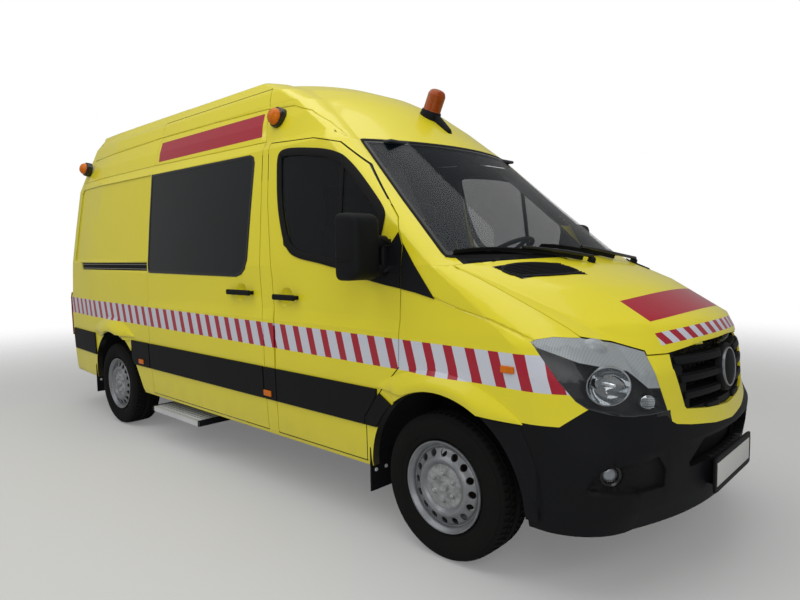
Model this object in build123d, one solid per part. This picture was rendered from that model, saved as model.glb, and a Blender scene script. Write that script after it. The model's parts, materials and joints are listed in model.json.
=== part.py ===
from build123d import *
import os
from math import cos, pi, radians, sin, sqrt

# Sizes are in millimetres. X runs forward, Y to the vehicle's left, Z up from the ground.

# Overall sizes
LENGTH = 5910
WIDTH = 1993
HEIGHT = 2720
WHEELBASE = 3665
FRONT_OVERHANG = 1004
HALF = WIDTH / 2
AXLE_F = LENGTH / 2 - FRONT_OVERHANG
AXLE_R = AXLE_F - WHEELBASE
REAR = -LENGTH / 2

# Clearances: between body panels, between seated pieces, and of glass in its opening
SEAM = 6
SEAT = 0.3
GLASS_GAP = 0.5

# Body shell
WALL = 50
SILL_Z = 352
BUMPER_LOW_Z = 300
STEP_DEPTH = 78
TAIL = REAR + STEP_DEPTH
TAIL_TAPER = 46
TAIL_CORNER = 110
TAPER_X = AXLE_R - 350
SIDE_SLACK = 3

# Cross-section of the body from sill to roof: distance in from the full half width, height
SECTION_TUCK_Z = [
    (52, BUMPER_LOW_Z), (30, 385), (14, 600), (8, 760), (6, 940), (6, 1075), (17, 1140), (24, 1400),
    (68, 1740), (122, HEIGHT - 600), (158, HEIGHT - 540), (196, HEIGHT - 420), (250, HEIGHT - 300)]
ROOF_SHOULDER_TUCK_Z = (296, HEIGHT - 180)
ROOF_EDGE_TUCK_Z = (376, HEIGHT - 78)
ROOF_CROWN_TUCK_Z = (HALF - 330, HEIGHT - 19)

# Front of the body at each height, from the front axle: nose on the centre line, the corner where
# the front surface ends, its tuck, where the side begins to turn in, and the lean of the tail
FRONT_ROWS = [
    # height,       nose, corner, corner tuck, side end, tail lean
    (BUMPER_LOW_Z,  940,  800,  310,  500,  0),
    (385,           962,  840,  300,  490,  0),
    (560,           985,  868,  290,  470,  0),
    (655,           992,  876,  288,  463,  0),
    (735,           970,  840,  298,  456,  0),
    (770,           967,  829,  302,  450,  0),
    (950,           972,  800,  320,  420,  0),
    (1075,          955,  700,  340,  350,  0),
    (1140,          925,  600,  300,  270,  0),
    (1300,          640,  270,  190,  60,   8),
    (1412,          335,  20,   96,  -90,   14),
    (1450,          262, -30,   102, -140,  16),
    (1740,         -100, -355,  172, -490,  28),
    (HEIGHT - 612, -550, -755,  256, -905,  46),
    (HEIGHT - 420, -790, -1010, 320, -1160, 54),
    (HEIGHT - 300, -960, -1190, 370, -1340, 62),
    (HEIGHT - 190, -1180, -1420, 430, -1560, 74),
    (HEIGHT - 100, -1440, -1680, 510, -1800, 92),
    (HEIGHT - 30, -1820, -1990, 610, -2090, 130),
    (HEIGHT + 20, -2100, -2250, 680, -2350, 170),
]

# Wheels
TRACK = 1710
TYRE_RADIUS = 355.5
TYRE_WIDTH = 235
RIM_RADIUS = 203
RIM_LIP_RADIUS = 221
RIM_WIDTH = 178
RIM_HOLES = 16
RIM_HOLE_RADIUS = 16
RIM_HOLE_CIRCLE = 158
WHEEL_Z = TYRE_RADIUS
WHEEL_Y = TRACK / 2
ARCH_RADIUS = 462

# Flares over the arches, outer curve then lip: X from the axle and height of the curve's centre, its
# radius, and where it ends behind and ahead of the axle
FLARE_FRONT = [(20, 455, 505, -285, 520), (0, TYRE_RADIUS, 474, -271, 466)]
FLARE_REAR = [(0, 433, 492, -352, 352), (0, TYRE_RADIUS, 474, -330, 330)]
FLARE_FOOT_Z = 340
FLARE_PROUD = 18
FLARE_SKIRT = 20
FLARE_REAR_LOW_Z = 768
FLARE_FRONT_LOW_Z = 700
ARCH_LEAN = [(-3330, 720), (-3137, 340), (-3400, 340)]

# Where the shell is split: the sides from the centre, the roof from the sides, pillars from wings
CENTRE_CLEAR = 300
ROOF_SPLIT_Z = HEIGHT - 160
HEADER_Z = HEIGHT - 612
PILLAR_FOOT_Z = 1404
COWL_HALF = 860

# Front door in side view: X from the front axle, height
DOOR_LOW_Z = SILL_Z + 26
FRONT_DOOR = [
    (-505, DOOR_LOW_Z), (-490, 620), (-372, 776), (-248, 905), (-236, 1500), (-300, 1640), (-590, 1940),
    (-790, 2080), (-1010, 2130), (-1440, 2156), (-1400, 1800), (-1300, 1330), (-1262, 1000),
    (-1285, DOOR_LOW_Z)]
FRONT_GLASS = [
    (-452, 1372), (-380, 1650), (-560, 1822), (-760, 1990), (-960, 2052), (-1290, 2062), (-1262, 1760),
    (-1205, 1520), (-1070, 1450)]

# Sliding door on the right-hand side, and the windows of the load space
SLIDE_DOOR = [
    (-1392, DOOR_LOW_Z), (-1392, 1000), (-1430, 1330), (-1510, HEIGHT - 560), (-1640, HEIGHT - 165),
    (-3120, HEIGHT - 165), (-3060, HEIGHT - 560), (-2985, 1330), (-2965, 1000), (-2965, DOOR_LOW_Z)]
SIDE_GLASS = [(-2958, 1346), (-3030, 2106), (-1640, 2098), (-1604, 2084), (-1590, 2050), (-1584, 1440),
              (-1602, 1384), (-1640, 1350), (-1700, 1334)]

# Grooves in the sides (side view, X from the front axle) with their depth: the roof cap's edge, the
# joint above the windows, and the crease along the wing
ROOF_GROOVE = [(-4660, 2404), (-3897, 2415), (-3155, 2430), (-2306, 2426), (-1626, 2410), (-1310, 2380),
               (-1130, 2320), (-950, 2222), (-800, 2124)]
JOINT_GROOVE = [(-4700, 2188), (-3072, 2194), (-1504, 2176)]
WING_GROOVE = [(-30, 1256), (94, 1216), (298, 1166), (490, 1092)]
GROOVE_DEPTH = 5

# Pressed recess behind the sliding door, and the channel of the door's rail with its black liner
QUARTER_RECESS = [(-4640, 1430), (-4606, 2080), (-4590, 2108), (-4562, 2120), (-2990, 2116), (-2900, 1430)]
QUARTER_DEPTH = 9
RAIL_CHANNEL = [(-4420, 1352), (-4440, 1416), (-2960, 1416), (-2960, 1352)]
CHANNEL_DEPTH = 20
CHANNEL_LINER = 8

# Door handles: the bar's ends and its height, its section, and the round cup behind it
HANDLES = [(-1250, -1038, 1215), (-1759, -1493, 1229)]
HANDLE_REACH = 44
HANDLE_BAR = (34, 20)
CUP_SHIFT = 14
CUP_RADIUS = 64
CUP_DEPTH = 18

LOAD_LINE = [(-1392, 0), (-1392, 1000), (-1430, 1330), (-1510, HEIGHT - 560), (-1640, ROOF_SPLIT_Z)]

# Rear doors, from behind: half width of the opening, heights, and each window
REAR_DOOR_HALF = 790
REAR_DOOR_Z = (612, HEIGHT - 150)
REAR_GLASS_Y = (130, 650)
REAR_GLASS_Z = (1352, 2040)
REAR_GAP = 8

# Windscreen from the front: half widths and heights of its lower and upper edges
SCREEN_LOW = (897, 1440)
SCREEN_TOP = (742, HEIGHT - 612)
PANE = 6

# Bonnet in plan (X from the front axle, half width), its lower edge from the front (half width,
# height) and its thickness
BONNET_SIDE = [(26, 912), (153, 874), (254, 857), (445, 821), (622, 797), (1060, 797)]
BONNET_REAR_MID = 292
BONNET_EDGE = [(0, 1066), (261, 1054), (480, 1022), (900, 1022)]
BONNET_THICK = 26
BONNET_STOP_X = (880, 925)
BONNET_STOP_Y = 270
BONNET_STOP_HALF = 22

# Nose panel with its grille, from the front: half widths and heights
NOSE_PANEL = [(640, 1052), (606, 772), (548, 770), (528, 744), (500, 728), (409, 712), (200, 684), (0, 670)]
GRILLE_OPENING = [(466, 1042), (488, 960), (430, 790), (416, 778), (254, 757), (0, 736)]
GRILLE_SLATS = 4
NOSE_DEPTH = 60
GRILLE_SET_BACK = 14
SLAT_HEIGHT = 38
SLOT_TAPER = (372, 440)
BADGE_Z = 909
BADGE_RADIUS = 104

# Headlamp seen squarely from its corner: distance along the corner's plane, height
LAMP_DEPTH = 55
LAMP_FROM = 600
LAMP_REACH = 800
LAMP_GAP = 0.8
LAMP_OUTLINE = [
    (-340, 1090), (-318, 1101), (-248, 1110), (-135, 1103), (12, 1076), (153, 1034), (186, 936),
    (240, 788), (150, 784), (57, 789), (-33, 803), (-142, 834), (-185, 863), (-248, 939), (-303, 1027)]

# Front bumper and its openings
BUMPER_LINE = [(608, 758), (702, 834), (1100, 834)]
BUMPER_TOP_Z = 748
BUMPER_REAR_X = 200
INTAKE = [(440, 552), (420, 528)]
INTAKE_TOP = (335, 640)

# Fog lamp and its pocket, seen squarely from the corner as the headlamp is
FOG_POCKET = [(-150, 508), (-90, 585), (0, 606), (170, 622), (212, 560), (214, 478), (60, 478), (-60, 490)]
POCKET_DEPTH = 18
FOG_PLACE = (-40, 556)
FOG_RADIUS = 46
FOG_SET_BACK = 24
FOG_THICK = 18
PLATE_HALF = 260
PLATE_HEIGHT = 110
PLATE_THICK = 12
PLATE_Z = 405

# Rub strips along the sides
STRIP_Z = (576, 776)
STRIP_PROUD = 12
STRIP_SPANS = [(-1386, -1268), (-3290, -2975), (-4690, -4065)]
SLIDE_STRIP = (-2958, -1400)
DOOR_STRIP = (-1258, -400)
WING_STRIP = [(-500, 576), (-500, 700), (-385, 758), (-285, 700), (-285, 576)]

# Beacon on the forehead, corner lamps and the roof's cooling unit
BEACON_X = -850
BEACON_TILT = 24
BEACON_RADIUS = 62
BEACON_HEIGHT = 205
BEACON_Z = HEIGHT - 392
CORNER_LAMPS = [(-1500, HEIGHT - 400), (-4610, HEIGHT - 400)]
CORNER_LAMP_RADIUS = 48
CORNER_LAMP_REACH = 105
ROOF_UNIT = (-4330, -3250, 420, 62)

# Mirrors
MIRROR = (-450, -300, 1000, WIDTH / 2 + 216, 1330, 1665)
MIRROR_ARM_Z = ((1372, 1402), (1500, 1534))
MIRROR_FOOT = [(-268, 1566), (-238, 1500), (-238, 1292), (-349, 1308), (-500, 1335), (-380, 1430)]
SAIL = [(-290, 1572), (-225, 1500), (-23, 1250), (-142, 1276), (-242, 1292)]
FOOT_PROUD = 6

# Rear bumper, tail lamps, side step and mud flaps
REAR_BUMPER_Z = (350, 596)
TAIL_LAMP_Z = (700, 1120)
TAIL_LAMP_DEPTH = 26
STEP = (-2950, -2225, 690, 992, 238, 275)
TOW_EYE_X = 42
TOW_EYE_Z = 318
TOW_EYE_RADIUS = 32
TOW_EYE_BORE = 15
TOW_EYE_WIDTH = 20
FLAP_THICK = 8
FLAP_LOW_Z = 215
FLAP_FRONT_REACH = 470
FLAP_REAR_REACH = 470

# Floor, ladder rails and cross members
FLOOR_Z = 645
FLOOR_THICK = 45
LITTER_TRACK = (-4250, -2150, 290, 8)
RAIL_Y = 400
RAIL_WIDTH = 70
RAIL_DEPTH = 110
RAIL_FRONT_X = 820
CROSS_MEMBER_X = [-300, -1500, -2300, -3100]
CROSS_MEMBER_DEPTH = 60
SILL_BEAM_Y = 800
SILL_BEAM = (60, 120)

# Arch liners
LINER_WALL = 5
FRONT_LINER_Y = 500
REAR_LINER_Y = 560
LINER_LOW_Z = 430
WHEEL_HOUSINGS = [(AXLE_F, FRONT_LINER_Y), (AXLE_R, REAR_LINER_Y)]

# Bulkheads
BULKHEAD_X = 10
BULKHEAD_TOP_Z = 1370
PARTITION_DOOR = (-330, 330, FLOOR_Z - 10, 1950)
BULKHEAD_THICK = 20
PARTITION_X = -1600
PARTITION_THICK = 25

# Dashboard in side view, and steering wheel
DASH = [(0, 980), (0, 1385), (-210, 1405), (-390, 1385), (-430, 1300), (-330, 1010)]
STEER_CENTRE = (-520, 400, 1465)
STEER_TILT = 28
STEER_RADIUS = 195
STEER_RIM = 14
COLUMN_LENGTH = 320
DASH_SIDE_GAP = 30
DASH_CORNER = 22

# Seats: across from the centre line, widths
SEAT_PLACES = [(400, 480), (-400, 480)]
SEAT_X = -1080
SEAT_CUSHION_Z = 1050
CUSHION_THICK = 130
BACK_THICK = 110
BACK_HEIGHT = 620

# Engine and running gear
ENGINE = (90, 760, 260, 420, 950)
RADIATOR = (758, 812, 355, 485, 960)
AXLE_TUBE_RADIUS = 42
DIFF_RADIUS = 150
SPRING_Y = 520
SPRING_WIDTH = 70
SPRING_HALF_SPAN = 680
SPRING_ARCH = 110
SUBFRAME_HALF = 330
GEARBOX_LENGTH = 640
HUB_RADIUS = 78
HUB_SEAT = 56
KINGPIN_Y = WHEEL_Y - 105
KNUCKLE_Z = (285, 500)
STRUT_Y = 622
STRUT_RADIUS = 22
COIL_RADIUS = 44
STRUT_LOW = 262
STRUT_COIL_LOW = 500
SHAFT_RADIUS = 38
EXHAUST_Y = -255
EXHAUST_RADIUS = 26
EXHAUST_RUN = [(870, 420), (330, 470), (-330, 470), (-900, 420)]
SILENCER = (-2450, 95, 420, 700)
HANGER_X = -2300
DISC_RADIUS = 150


def from_axle(points):
    """Side or plan points measured from the front axle, placed on the vehicle."""
    return [(AXLE_F + x, other) for x, other in points]


def outline(points, radius=0):
    """A closed face from points in order, with its corners rounded."""
    if radius:
        return make_face(FilletPolyline(*points, radius=radius, close=True))
    return make_face(Polyline(*points, close=True))


def across(points, y0, y1, radius=0):
    """A side-view outline (X, Z) carried across the vehicle from y0 to y1."""
    return Pos(0, y0, 0) * extrude(Plane.XZ * outline(points, radius), amount=-(y1 - y0))


def along(points, x0, x1, radius=0):
    """A front-view outline (Y, Z) carried along the vehicle from x0 to x1."""
    return Pos(x0, 0, 0) * extrude(Plane.YZ * outline(points, radius), amount=x1 - x0)


def upward(points, z0, z1, radius=0):
    """A plan outline (X, Y) carried up from z0 to z1."""
    return Pos(0, 0, z0) * extrude(outline(points, radius), amount=z1 - z0)


def block(x0, x1, y0, y1, z0, z1):
    """A box from its lowest to its highest corner."""
    return Pos((x0 + x1) / 2, (y0 + y1) / 2, (z0 + z1) / 2) * Box(x1 - x0, y1 - y0, z1 - z0)


def drum(x, z, radius, y0, y1):
    """A cylinder across the vehicle, as an axle lies."""
    return Pos(x, (y0 + y1) / 2, z) * Rot(90, 0, 0) * Cylinder(radius, y1 - y0)


def rod(start, end, radius):
    """A round bar from point to point."""
    line = Line(start, end)
    return extrude(Plane(start, z_dir=line % 0) * Circle(radius), amount=line.length)


def other_side(shape):
    """The same shape on the other side of the vehicle."""
    return mirror(shape, about=Plane.XZ)


def half_width(z):
    """Half width of the body's cross-section at a height."""
    rows = SECTION_TUCK_Z + [ROOF_SHOULDER_TUCK_Z, ROOF_EDGE_TUCK_Z]
    for (tuck_a, z_a), (tuck_b, z_b) in zip(rows, rows[1:]):
        if z <= z_b:
            share = max(0, z - z_a) / (z_b - z_a)
            return HALF - tuck_a - share * (tuck_b - tuck_a)
    return HALF - rows[-1][0]


def plan_wire(z, nose, corner, corner_tuck, side_end, tail_lean, inset):
    """One horizontal section of the body: straight tail, tapered sides and a curved front."""
    side = half_width(z) - inset + SIDE_SLACK
    tail = TAIL + tail_lean + inset
    tail_side = side - TAIL_TAPER
    radius = TAIL_CORNER - inset
    corner_point = (AXLE_F + corner - inset, HALF - corner_tuck - inset)
    nose_point = (AXLE_F + nose - inset, 0)
    side_point = (AXLE_F + side_end - inset, side)
    flip = lambda point: (point[0], -point[1])
    middle = sin(pi / 4)
    bend = (tail + radius - radius * middle, tail_side - radius + radius * middle)
    side_arc = TangentArc(side_point, corner_point, tangent=(1, 0))
    arc_mid = (side_arc @ 0.5).X, (side_arc @ 0.5).Y
    left = [
        ThreePointArc((tail, tail_side - radius), bend, (tail + radius, tail_side)),
        Line((tail + radius, tail_side), (TAPER_X, side)),
        Line((TAPER_X, side), side_point),
        side_arc]
    right = [
        ThreePointArc(flip(corner_point), flip(arc_mid), flip(side_point)),
        Line(flip(side_point), (TAPER_X, -side)),
        Line((TAPER_X, -side), (tail + radius, -tail_side)),
        ThreePointArc((tail + radius, -tail_side), flip(bend), (tail, radius - tail_side))]
    front = ThreePointArc(corner_point, nose_point, flip(corner_point))
    back = Line((tail, radius - tail_side), (tail, tail_side - radius))
    return Pos(0, 0, z - inset) * Wire(left + [front] + right + [back])


def section_prism(inset):
    """The cross-section from sill to roof crown, carried the whole length."""
    points = [(HALF - tuck - inset, z - inset) for tuck, z in SECTION_TUCK_Z]
    start, bend, edge = [
        (HALF - tuck - inset, z - inset)
        for tuck, z in (SECTION_TUCK_Z[-1], ROOF_SHOULDER_TUCK_Z, ROOF_EDGE_TUCK_Z)]
    crown = (HALF - ROOF_CROWN_TUCK_Z[0] - inset, ROOF_CROWN_TUCK_Z[1] - inset)
    top = (0, HEIGHT - inset)
    flip = lambda point: (-point[0], point[1])
    left = [Polyline(*points), ThreePointArc(start, bend, edge), ThreePointArc(edge, crown, top)]
    right = [
        ThreePointArc(top, flip(crown), flip(edge)), ThreePointArc(flip(edge), flip(bend), flip(start)),
        Polyline(*[flip(point) for point in reversed(points)]), Line(flip(points[0]), points[0])]
    face = make_face(Curve() + left + right)
    return Pos(REAR - 50, 0, 0) * extrude(Plane.YZ * face, amount=LENGTH + 100)


def body_solid(inset=0):
    """The whole body's form, or that form drawn in by the wall."""
    wires = [plan_wire(*row, inset) for row in FRONT_ROWS]
    return Solid.make_loft(wires, True) & section_prism(inset)


BODY = body_solid()
ROOM = body_solid(WALL)
SHELL = BODY - ROOM
SHELL -= block(REAR - 60, AXLE_F + BUMPER_REAR_X, -HALF - 20, HALF + 20, 0, SILL_Z)
MODEL = {}


def keep(name, *shapes):
    """Add solids to a node of the model."""
    for shape in shapes:
        MODEL.setdefault(name, []).extend(shape.solids())


def both_sides(name, *shapes):
    """Keep right-hand pieces as NAME_right and their mirrors as NAME_left."""
    keep(name + "_right", *shapes)
    keep(name + "_left", *[other_side(shape) for shape in shapes])


def side_plate(points, grow=0, deepest=-CENTRE_CLEAR):
    """A side-view outline, grown by a gap, carried through the right-hand wall only."""
    face = outline(from_axle(points))
    if grow:
        face = offset(face, amount=grow, kind=Kind.INTERSECTION)
    return Pos(0, -HALF - 20, 0) * extrude(Plane.XZ * face, amount=-(HALF + 20 + deepest))


def rear_plate(y0, y1, z0, z1):
    """A block through the tail wall, up to the corner of the body."""
    return block(REAR - 20, TAIL + TAIL_CORNER + 140, y0, y1, z0, z1)


def outer_layer(dx, dy, dz):
    """The skin of the body between its surface and the same surface moved inward."""
    return BODY - Pos(dx, dy, dz) * BODY


def mirrored_outline(points):
    """Half widths and heights, top to bottom, made a closed symmetrical outline."""
    return points + [(-y, z) for y, z in reversed(points) if y]


# Wheel arches: a round opening through each wall, squared off below
def arch_cut(x, grow=0):
    """What a wheel's arch takes out of the body, on both sides."""
    reach = ARCH_RADIUS + grow
    tunnel = drum(x, WHEEL_Z, reach, -HALF - 20, HALF + 20)
    tunnel += block(x - reach, x + reach, -HALF - 20, HALF + 20, 0, WHEEL_Z)
    return tunnel - block(x - reach, x + reach, -FRONT_LINER_Y, FRONT_LINER_Y, 0, HEIGHT)


ARCHES = arch_cut(AXLE_F) + arch_cut(AXLE_R)

# Headlamps, cut squarely from the corner of the nose
lamp_plane = Plane((AXLE_F, 0, 0), x_dir=(1, 1, 0), z_dir=(1, -1, 0))


def lamp_prism(grow=0):
    """The headlamp's outline carried out through the right-hand front corner."""
    face = outline(LAMP_OUTLINE)
    if grow:
        face = offset(face, amount=grow, kind=Kind.INTERSECTION)
    return lamp_plane * (Pos(0, 0, LAMP_FROM) * extrude(face, amount=LAMP_REACH))


# Panels of the shell, cut apart along the real seams
front_door_hole = side_plate(FRONT_DOOR, SEAM)
slide_hole = side_plate(SLIDE_DOOR, SEAM)
side_glass_hole = side_plate(SIDE_GLASS)
screen_outline = [(-SCREEN_LOW[0], SCREEN_LOW[1]), (SCREEN_LOW[0], SCREEN_LOW[1]),
                  (SCREEN_TOP[0], SCREEN_TOP[1]), (-SCREEN_TOP[0], SCREEN_TOP[1])]
screen_hole = along(screen_outline, AXLE_F - 1150, AXLE_F + 420)


def bonnet_zone(grow=0):
    """What the bonnet covers: its plan, bowed along the windscreen's foot, above its lower edge."""
    left = [(AXLE_F + x, y + grow) for x, y in BONNET_SIDE]
    left[0] = (left[0][0] - grow, left[0][1])
    right = [(x, -y) for x, y in reversed(left)]
    edges = [Polyline(*left), Line(left[-1], right[0]), Polyline(*right),
             ThreePointArc(right[-1], (AXLE_F + BONNET_REAR_MID - grow, 0), left[0])]
    plan = extrude(make_face(Curve() + edges), amount=HEIGHT)
    edge = [(y, z - grow) for y, z in BONNET_EDGE]
    above = [(-y, z) for y, z in reversed(edge)] + edge[1:]
    above += [(edge[-1][0], HEIGHT), (-edge[-1][0], HEIGHT)]
    return plan & along(above, AXLE_F - 60, LENGTH)


bonnet_hole = bonnet_zone(SEAM)
bonnet = outer_layer(-8, 0, -BONNET_THICK) & bonnet_zone()
bonnet -= lamp_prism(SEAM) + other_side(lamp_prism(SEAM))
grille_top = GRILLE_OPENING[0][1] - GLASS_GAP
for y in (-BONNET_STOP_Y, BONNET_STOP_Y):
    stop = block(AXLE_F + BONNET_STOP_X[0], AXLE_F + BONNET_STOP_X[1], y - BONNET_STOP_HALF,
                 y + BONNET_STOP_HALF, grille_top + SEAT, BONNET_EDGE[0][1] + BONNET_THICK)
    bonnet += stop & (Pos(-4, 0, -4) * BODY)
keep("bonnet", bonnet)


def groove(points, width):
    """A shallow groove along a side-view line, in the right-hand side."""
    band = [(x, z + width / 2) for x, z in points] + [(x, z - width / 2) for x, z in reversed(points)]
    return outer_layer(0, GROOVE_DEPTH, 0) & side_plate(band)


def flare(x, curves):
    """The flare of an arch on the right-hand side: flush along its outer curve, proud at its lip."""
    def ring(y, shift, centre_z, radius, rear, front):
        ends = [(x + end, centre_z + sqrt(radius ** 2 - (end - shift) ** 2)) for end in (rear, front)]
        feet = [(end[0], FLARE_FOOT_Z) for end in ends]
        edges = [ThreePointArc(ends[0], (x + shift, centre_z + radius), ends[1]), Line(ends[1], feet[1]),
                 Line(feet[1], feet[0]), Line(feet[0], ends[0])]
        return Pos(0, y, 0) * (Plane.XZ * Wire(edges))

    edge = -HALF + SECTION_TUCK_Z[5][0] + 2
    outer = ring(edge, *curves[0])
    lip = ring(edge - FLARE_PROUD - 4, *curves[1])
    skirt = ring(edge + FLARE_SKIRT, *curves[0])
    solid = Solid.make_loft([outer, lip], True) + Solid.make_loft([skirt, outer], True)
    return (solid & (Pos(0, -FLARE_PROUD, 0) * BODY)) - ARCHES


def handle_spot(handle):
    """Where a handle's cup lies: X, the surface's Y and height."""
    x = AXLE_F + (handle[0] + handle[1]) / 2 - CUP_SHIFT
    z = handle[2]
    return x, -half_width(z), z


def handle_cup(handle):
    """The round dish pressed into a door behind its handle."""
    x, y, z = handle_spot(handle)
    reach = (CUP_RADIUS ** 2 + CUP_DEPTH ** 2) / (2 * CUP_DEPTH)
    return Pos(x, y - reach + CUP_DEPTH, z) * Sphere(reach)


def door_handle(handle):
    """A bar across its cup on two feet that stand on the door."""
    x, y, z = handle_spot(handle)
    x0, x1 = AXLE_F + handle[0], AXLE_F + handle[1]
    tall, deep = HANDLE_BAR
    bar = block(x0, x1, y - HANDLE_REACH, y - HANDLE_REACH + deep, z - tall / 2, z + tall / 2)
    bar = fillet(bar.edges(), 9)
    for foot in (x0 + 6, x1 - 32):
        bar += block(foot, foot + 26, y - HANDLE_REACH + deep / 2, y + 30, z - 11, z + 11)
    return bar - BODY


front_flare = flare(AXLE_F, FLARE_FRONT) - front_door_hole
front_flare -= block(AXLE_F - 600, AXLE_F - 200, -HALF - 60, 0, 0, FLARE_FRONT_LOW_Z)
rear_flare = flare(AXLE_R, FLARE_REAR) - block(AXLE_R - 600, AXLE_R + 600, -HALF - 60, 0, 0, FLARE_REAR_LOW_Z)
side_grooves = groove(ROOF_GROOVE, 9) + groove(JOINT_GROOVE, 6)
quarter_recess = outer_layer(0, QUARTER_DEPTH, 0) & side_plate(QUARTER_RECESS)
channel_plate = side_plate(RAIL_CHANNEL)
rail_channel = outer_layer(0, CHANNEL_DEPTH, 0) & channel_plate
window_rear = block(REAR, AXLE_F + SLIDE_DOOR[5][0], -HALF - 20, HALF + 20, 0, HEIGHT)

# Zones in side view: the load space, and the roof with its forehead over the windscreen
load_zone = across(from_axle([(-6000, 0)] + [(x, z) for x, z in LOAD_LINE] + [(-6000, ROOF_SPLIT_Z)]),
                   -HALF - 20, HALF + 20)
roof_zone = across(from_axle([(-6000, ROOF_SPLIT_Z), (LOAD_LINE[-1][0], ROOF_SPLIT_Z),
                              (LOAD_LINE[-2][0], HEADER_Z + 84), (-900, HEADER_Z + 60), (-760, HEADER_Z),
                              (200, HEADER_Z), (200, HEIGHT + 60), (-6000, HEIGHT + 60)]),
                   -HALF - 20, HALF + 20)
tail_opening = rear_plate(-REAR_DOOR_HALF - REAR_GAP, REAR_DOOR_HALF + REAR_GAP,
                          REAR_DOOR_Z[0] - REAR_GAP, REAR_DOOR_Z[1] + REAR_GAP)
right_half = block(REAR - 60, LENGTH, -HALF - 20, -CENTRE_CLEAR, 0, HEIGHT + 60)
left_half = other_side(right_half)

roof_panel = ((SHELL & roof_zone) - tail_opening) - slide_hole
keep("roof_panel", roof_panel - side_grooves - other_side(side_grooves))

# Body sides of the load space
walls = ((SHELL - roof_zone) - ARCHES) - across(from_axle(ARCH_LEAN), -HALF - 20, HALF + 20)
load_walls = (walls & load_zone) - tail_opening
side_panel = (load_walls & right_half) + rear_flare - side_grooves - quarter_recess - rail_channel
keep("side_panel_right", side_panel - slide_hole)
side_panel = (load_walls & left_half) + other_side(rear_flare) - other_side(side_grooves)
side_panel -= other_side(quarter_recess) & window_rear
keep("side_panel_left", side_panel - other_side(side_glass_hole))
liner_layer = (Pos(0, CHANNEL_DEPTH - CHANNEL_LINER, 0) * BODY) - (Pos(0, CHANNEL_DEPTH - SEAT, 0) * BODY)
liner = liner_layer & side_plate(RAIL_CHANNEL, -GLASS_GAP)
keep("body_trim", liner - slide_hole)
sliding_door = (SHELL & side_plate(SLIDE_DOOR)) - side_glass_hole
keep("sliding_door", sliding_door - side_grooves - handle_cup(HANDLES[1]))
side_pane = outer_layer(0, PANE, 0) & side_plate(SIDE_GLASS, -GLASS_GAP)
keep("side_windows", side_pane, other_side(side_pane))

# Cab: pillars and sills, wings, cowl and windscreen
cab_walls = walls - load_zone
cowl_zone = block(AXLE_F - 80, AXLE_F + 400, -COWL_HALF, COWL_HALF, 1300, SCREEN_LOW[1])
nose_zone = block(AXLE_F + 60, LENGTH, -HALF - 20, HALF + 20, 0, HEIGHT)
pillars = cab_walls & block(REAR, AXLE_F + 400, -HALF - 20, HALF + 20, PILLAR_FOOT_Z, HEIGHT)
posts = cab_walls & block(REAR, AXLE_F + FRONT_DOOR[-1][0], -HALF - 20, HALF + 20, 0, PILLAR_FOOT_Z)
sills = cab_walls & block(REAR, AXLE_F + FRONT_DOOR[0][0] - 10, -HALF - 20, HALF + 20, 0, DOOR_LOW_Z)
pillar_set = pillars + (posts + sills)
pillar_set = pillar_set - front_door_hole - other_side(front_door_hole) - screen_hole - cowl_zone
pillar_set = pillar_set - slide_hole - bonnet_hole - nose_zone
keep("cab_pillars", pillar_set - side_grooves - other_side(side_grooves))
keep("cowl", ((SHELL & cowl_zone) - screen_hole) - bonnet_hole)
foot_half, foot_z = SCREEN_LOW[0] - GLASS_GAP, SCREEN_LOW[1] + GLASS_GAP
head_half, head_z = SCREEN_TOP[0] - GLASS_GAP, SCREEN_TOP[1] - GLASS_GAP
pane_outline = [(-foot_half, foot_z), (foot_half, foot_z), (head_half, head_z), (-head_half, head_z)]
keep("windscreen", outer_layer(-PANE, 0, -PANE) & along(pane_outline, AXLE_F - 1150, AXLE_F + 420))

# Headlamps
headlamp = outer_layer(-LAMP_DEPTH, LAMP_DEPTH, 0) & lamp_prism()
keep("front_lamps", headlamp, other_side(headlamp))
lamp_hole = lamp_prism(LAMP_GAP)

# Nose panel, a painted frame round the grille
nose_outline = mirrored_outline(NOSE_PANEL)
grille_outline = mirrored_outline(GRILLE_OPENING)
nose_prism = along(nose_outline, AXLE_F + 500, AXLE_F + FRONT_OVERHANG)
grille_prism = along(grille_outline, AXLE_F + 500, AXLE_F + FRONT_OVERHANG)
nose_frame = (outer_layer(-NOSE_DEPTH, 0, 0) & nose_prism) - grille_prism - lamp_hole - other_side(lamp_hole)
nose_frame -= bonnet_hole
keep("nose_panel", max(nose_frame.solids(), key=lambda piece: piece.volume))
grille_inner = offset(outline(grille_outline), amount=-GLASS_GAP, kind=Kind.INTERSECTION)
grille_prism = Pos(AXLE_F + 500, 0, 0) * extrude(Plane.YZ * grille_inner, amount=FRONT_OVERHANG - 500)
grille = ((Pos(-GRILLE_SET_BACK, 0, 0) * BODY) - (Pos(-NOSE_DEPTH, 0, 0) * BODY)) & grille_prism
grille_low = min(z for y, z in GRILLE_OPENING)
pitch = (GRILLE_OPENING[0][1] - grille_low) / GRILLE_SLATS
for index in range(GRILLE_SLATS):
    low = grille_low + pitch * index + SLAT_HEIGHT
    half = SLOT_TAPER[0] + (SLOT_TAPER[1] - SLOT_TAPER[0]) * index / (GRILLE_SLATS - 1)
    grille -= block(AXLE_F + 500, LENGTH, -half, half, low, low + pitch - SLAT_HEIGHT)
boss = Pos(AXLE_F + FRONT_OVERHANG - 20 - 60, 0, BADGE_Z) * Rot(0, 90, 0) * Cylinder(BADGE_RADIUS, 90)
grille += boss & (Pos(-8, 0, 0) * BODY)
keep("grille", grille - bonnet_hole)

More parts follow.
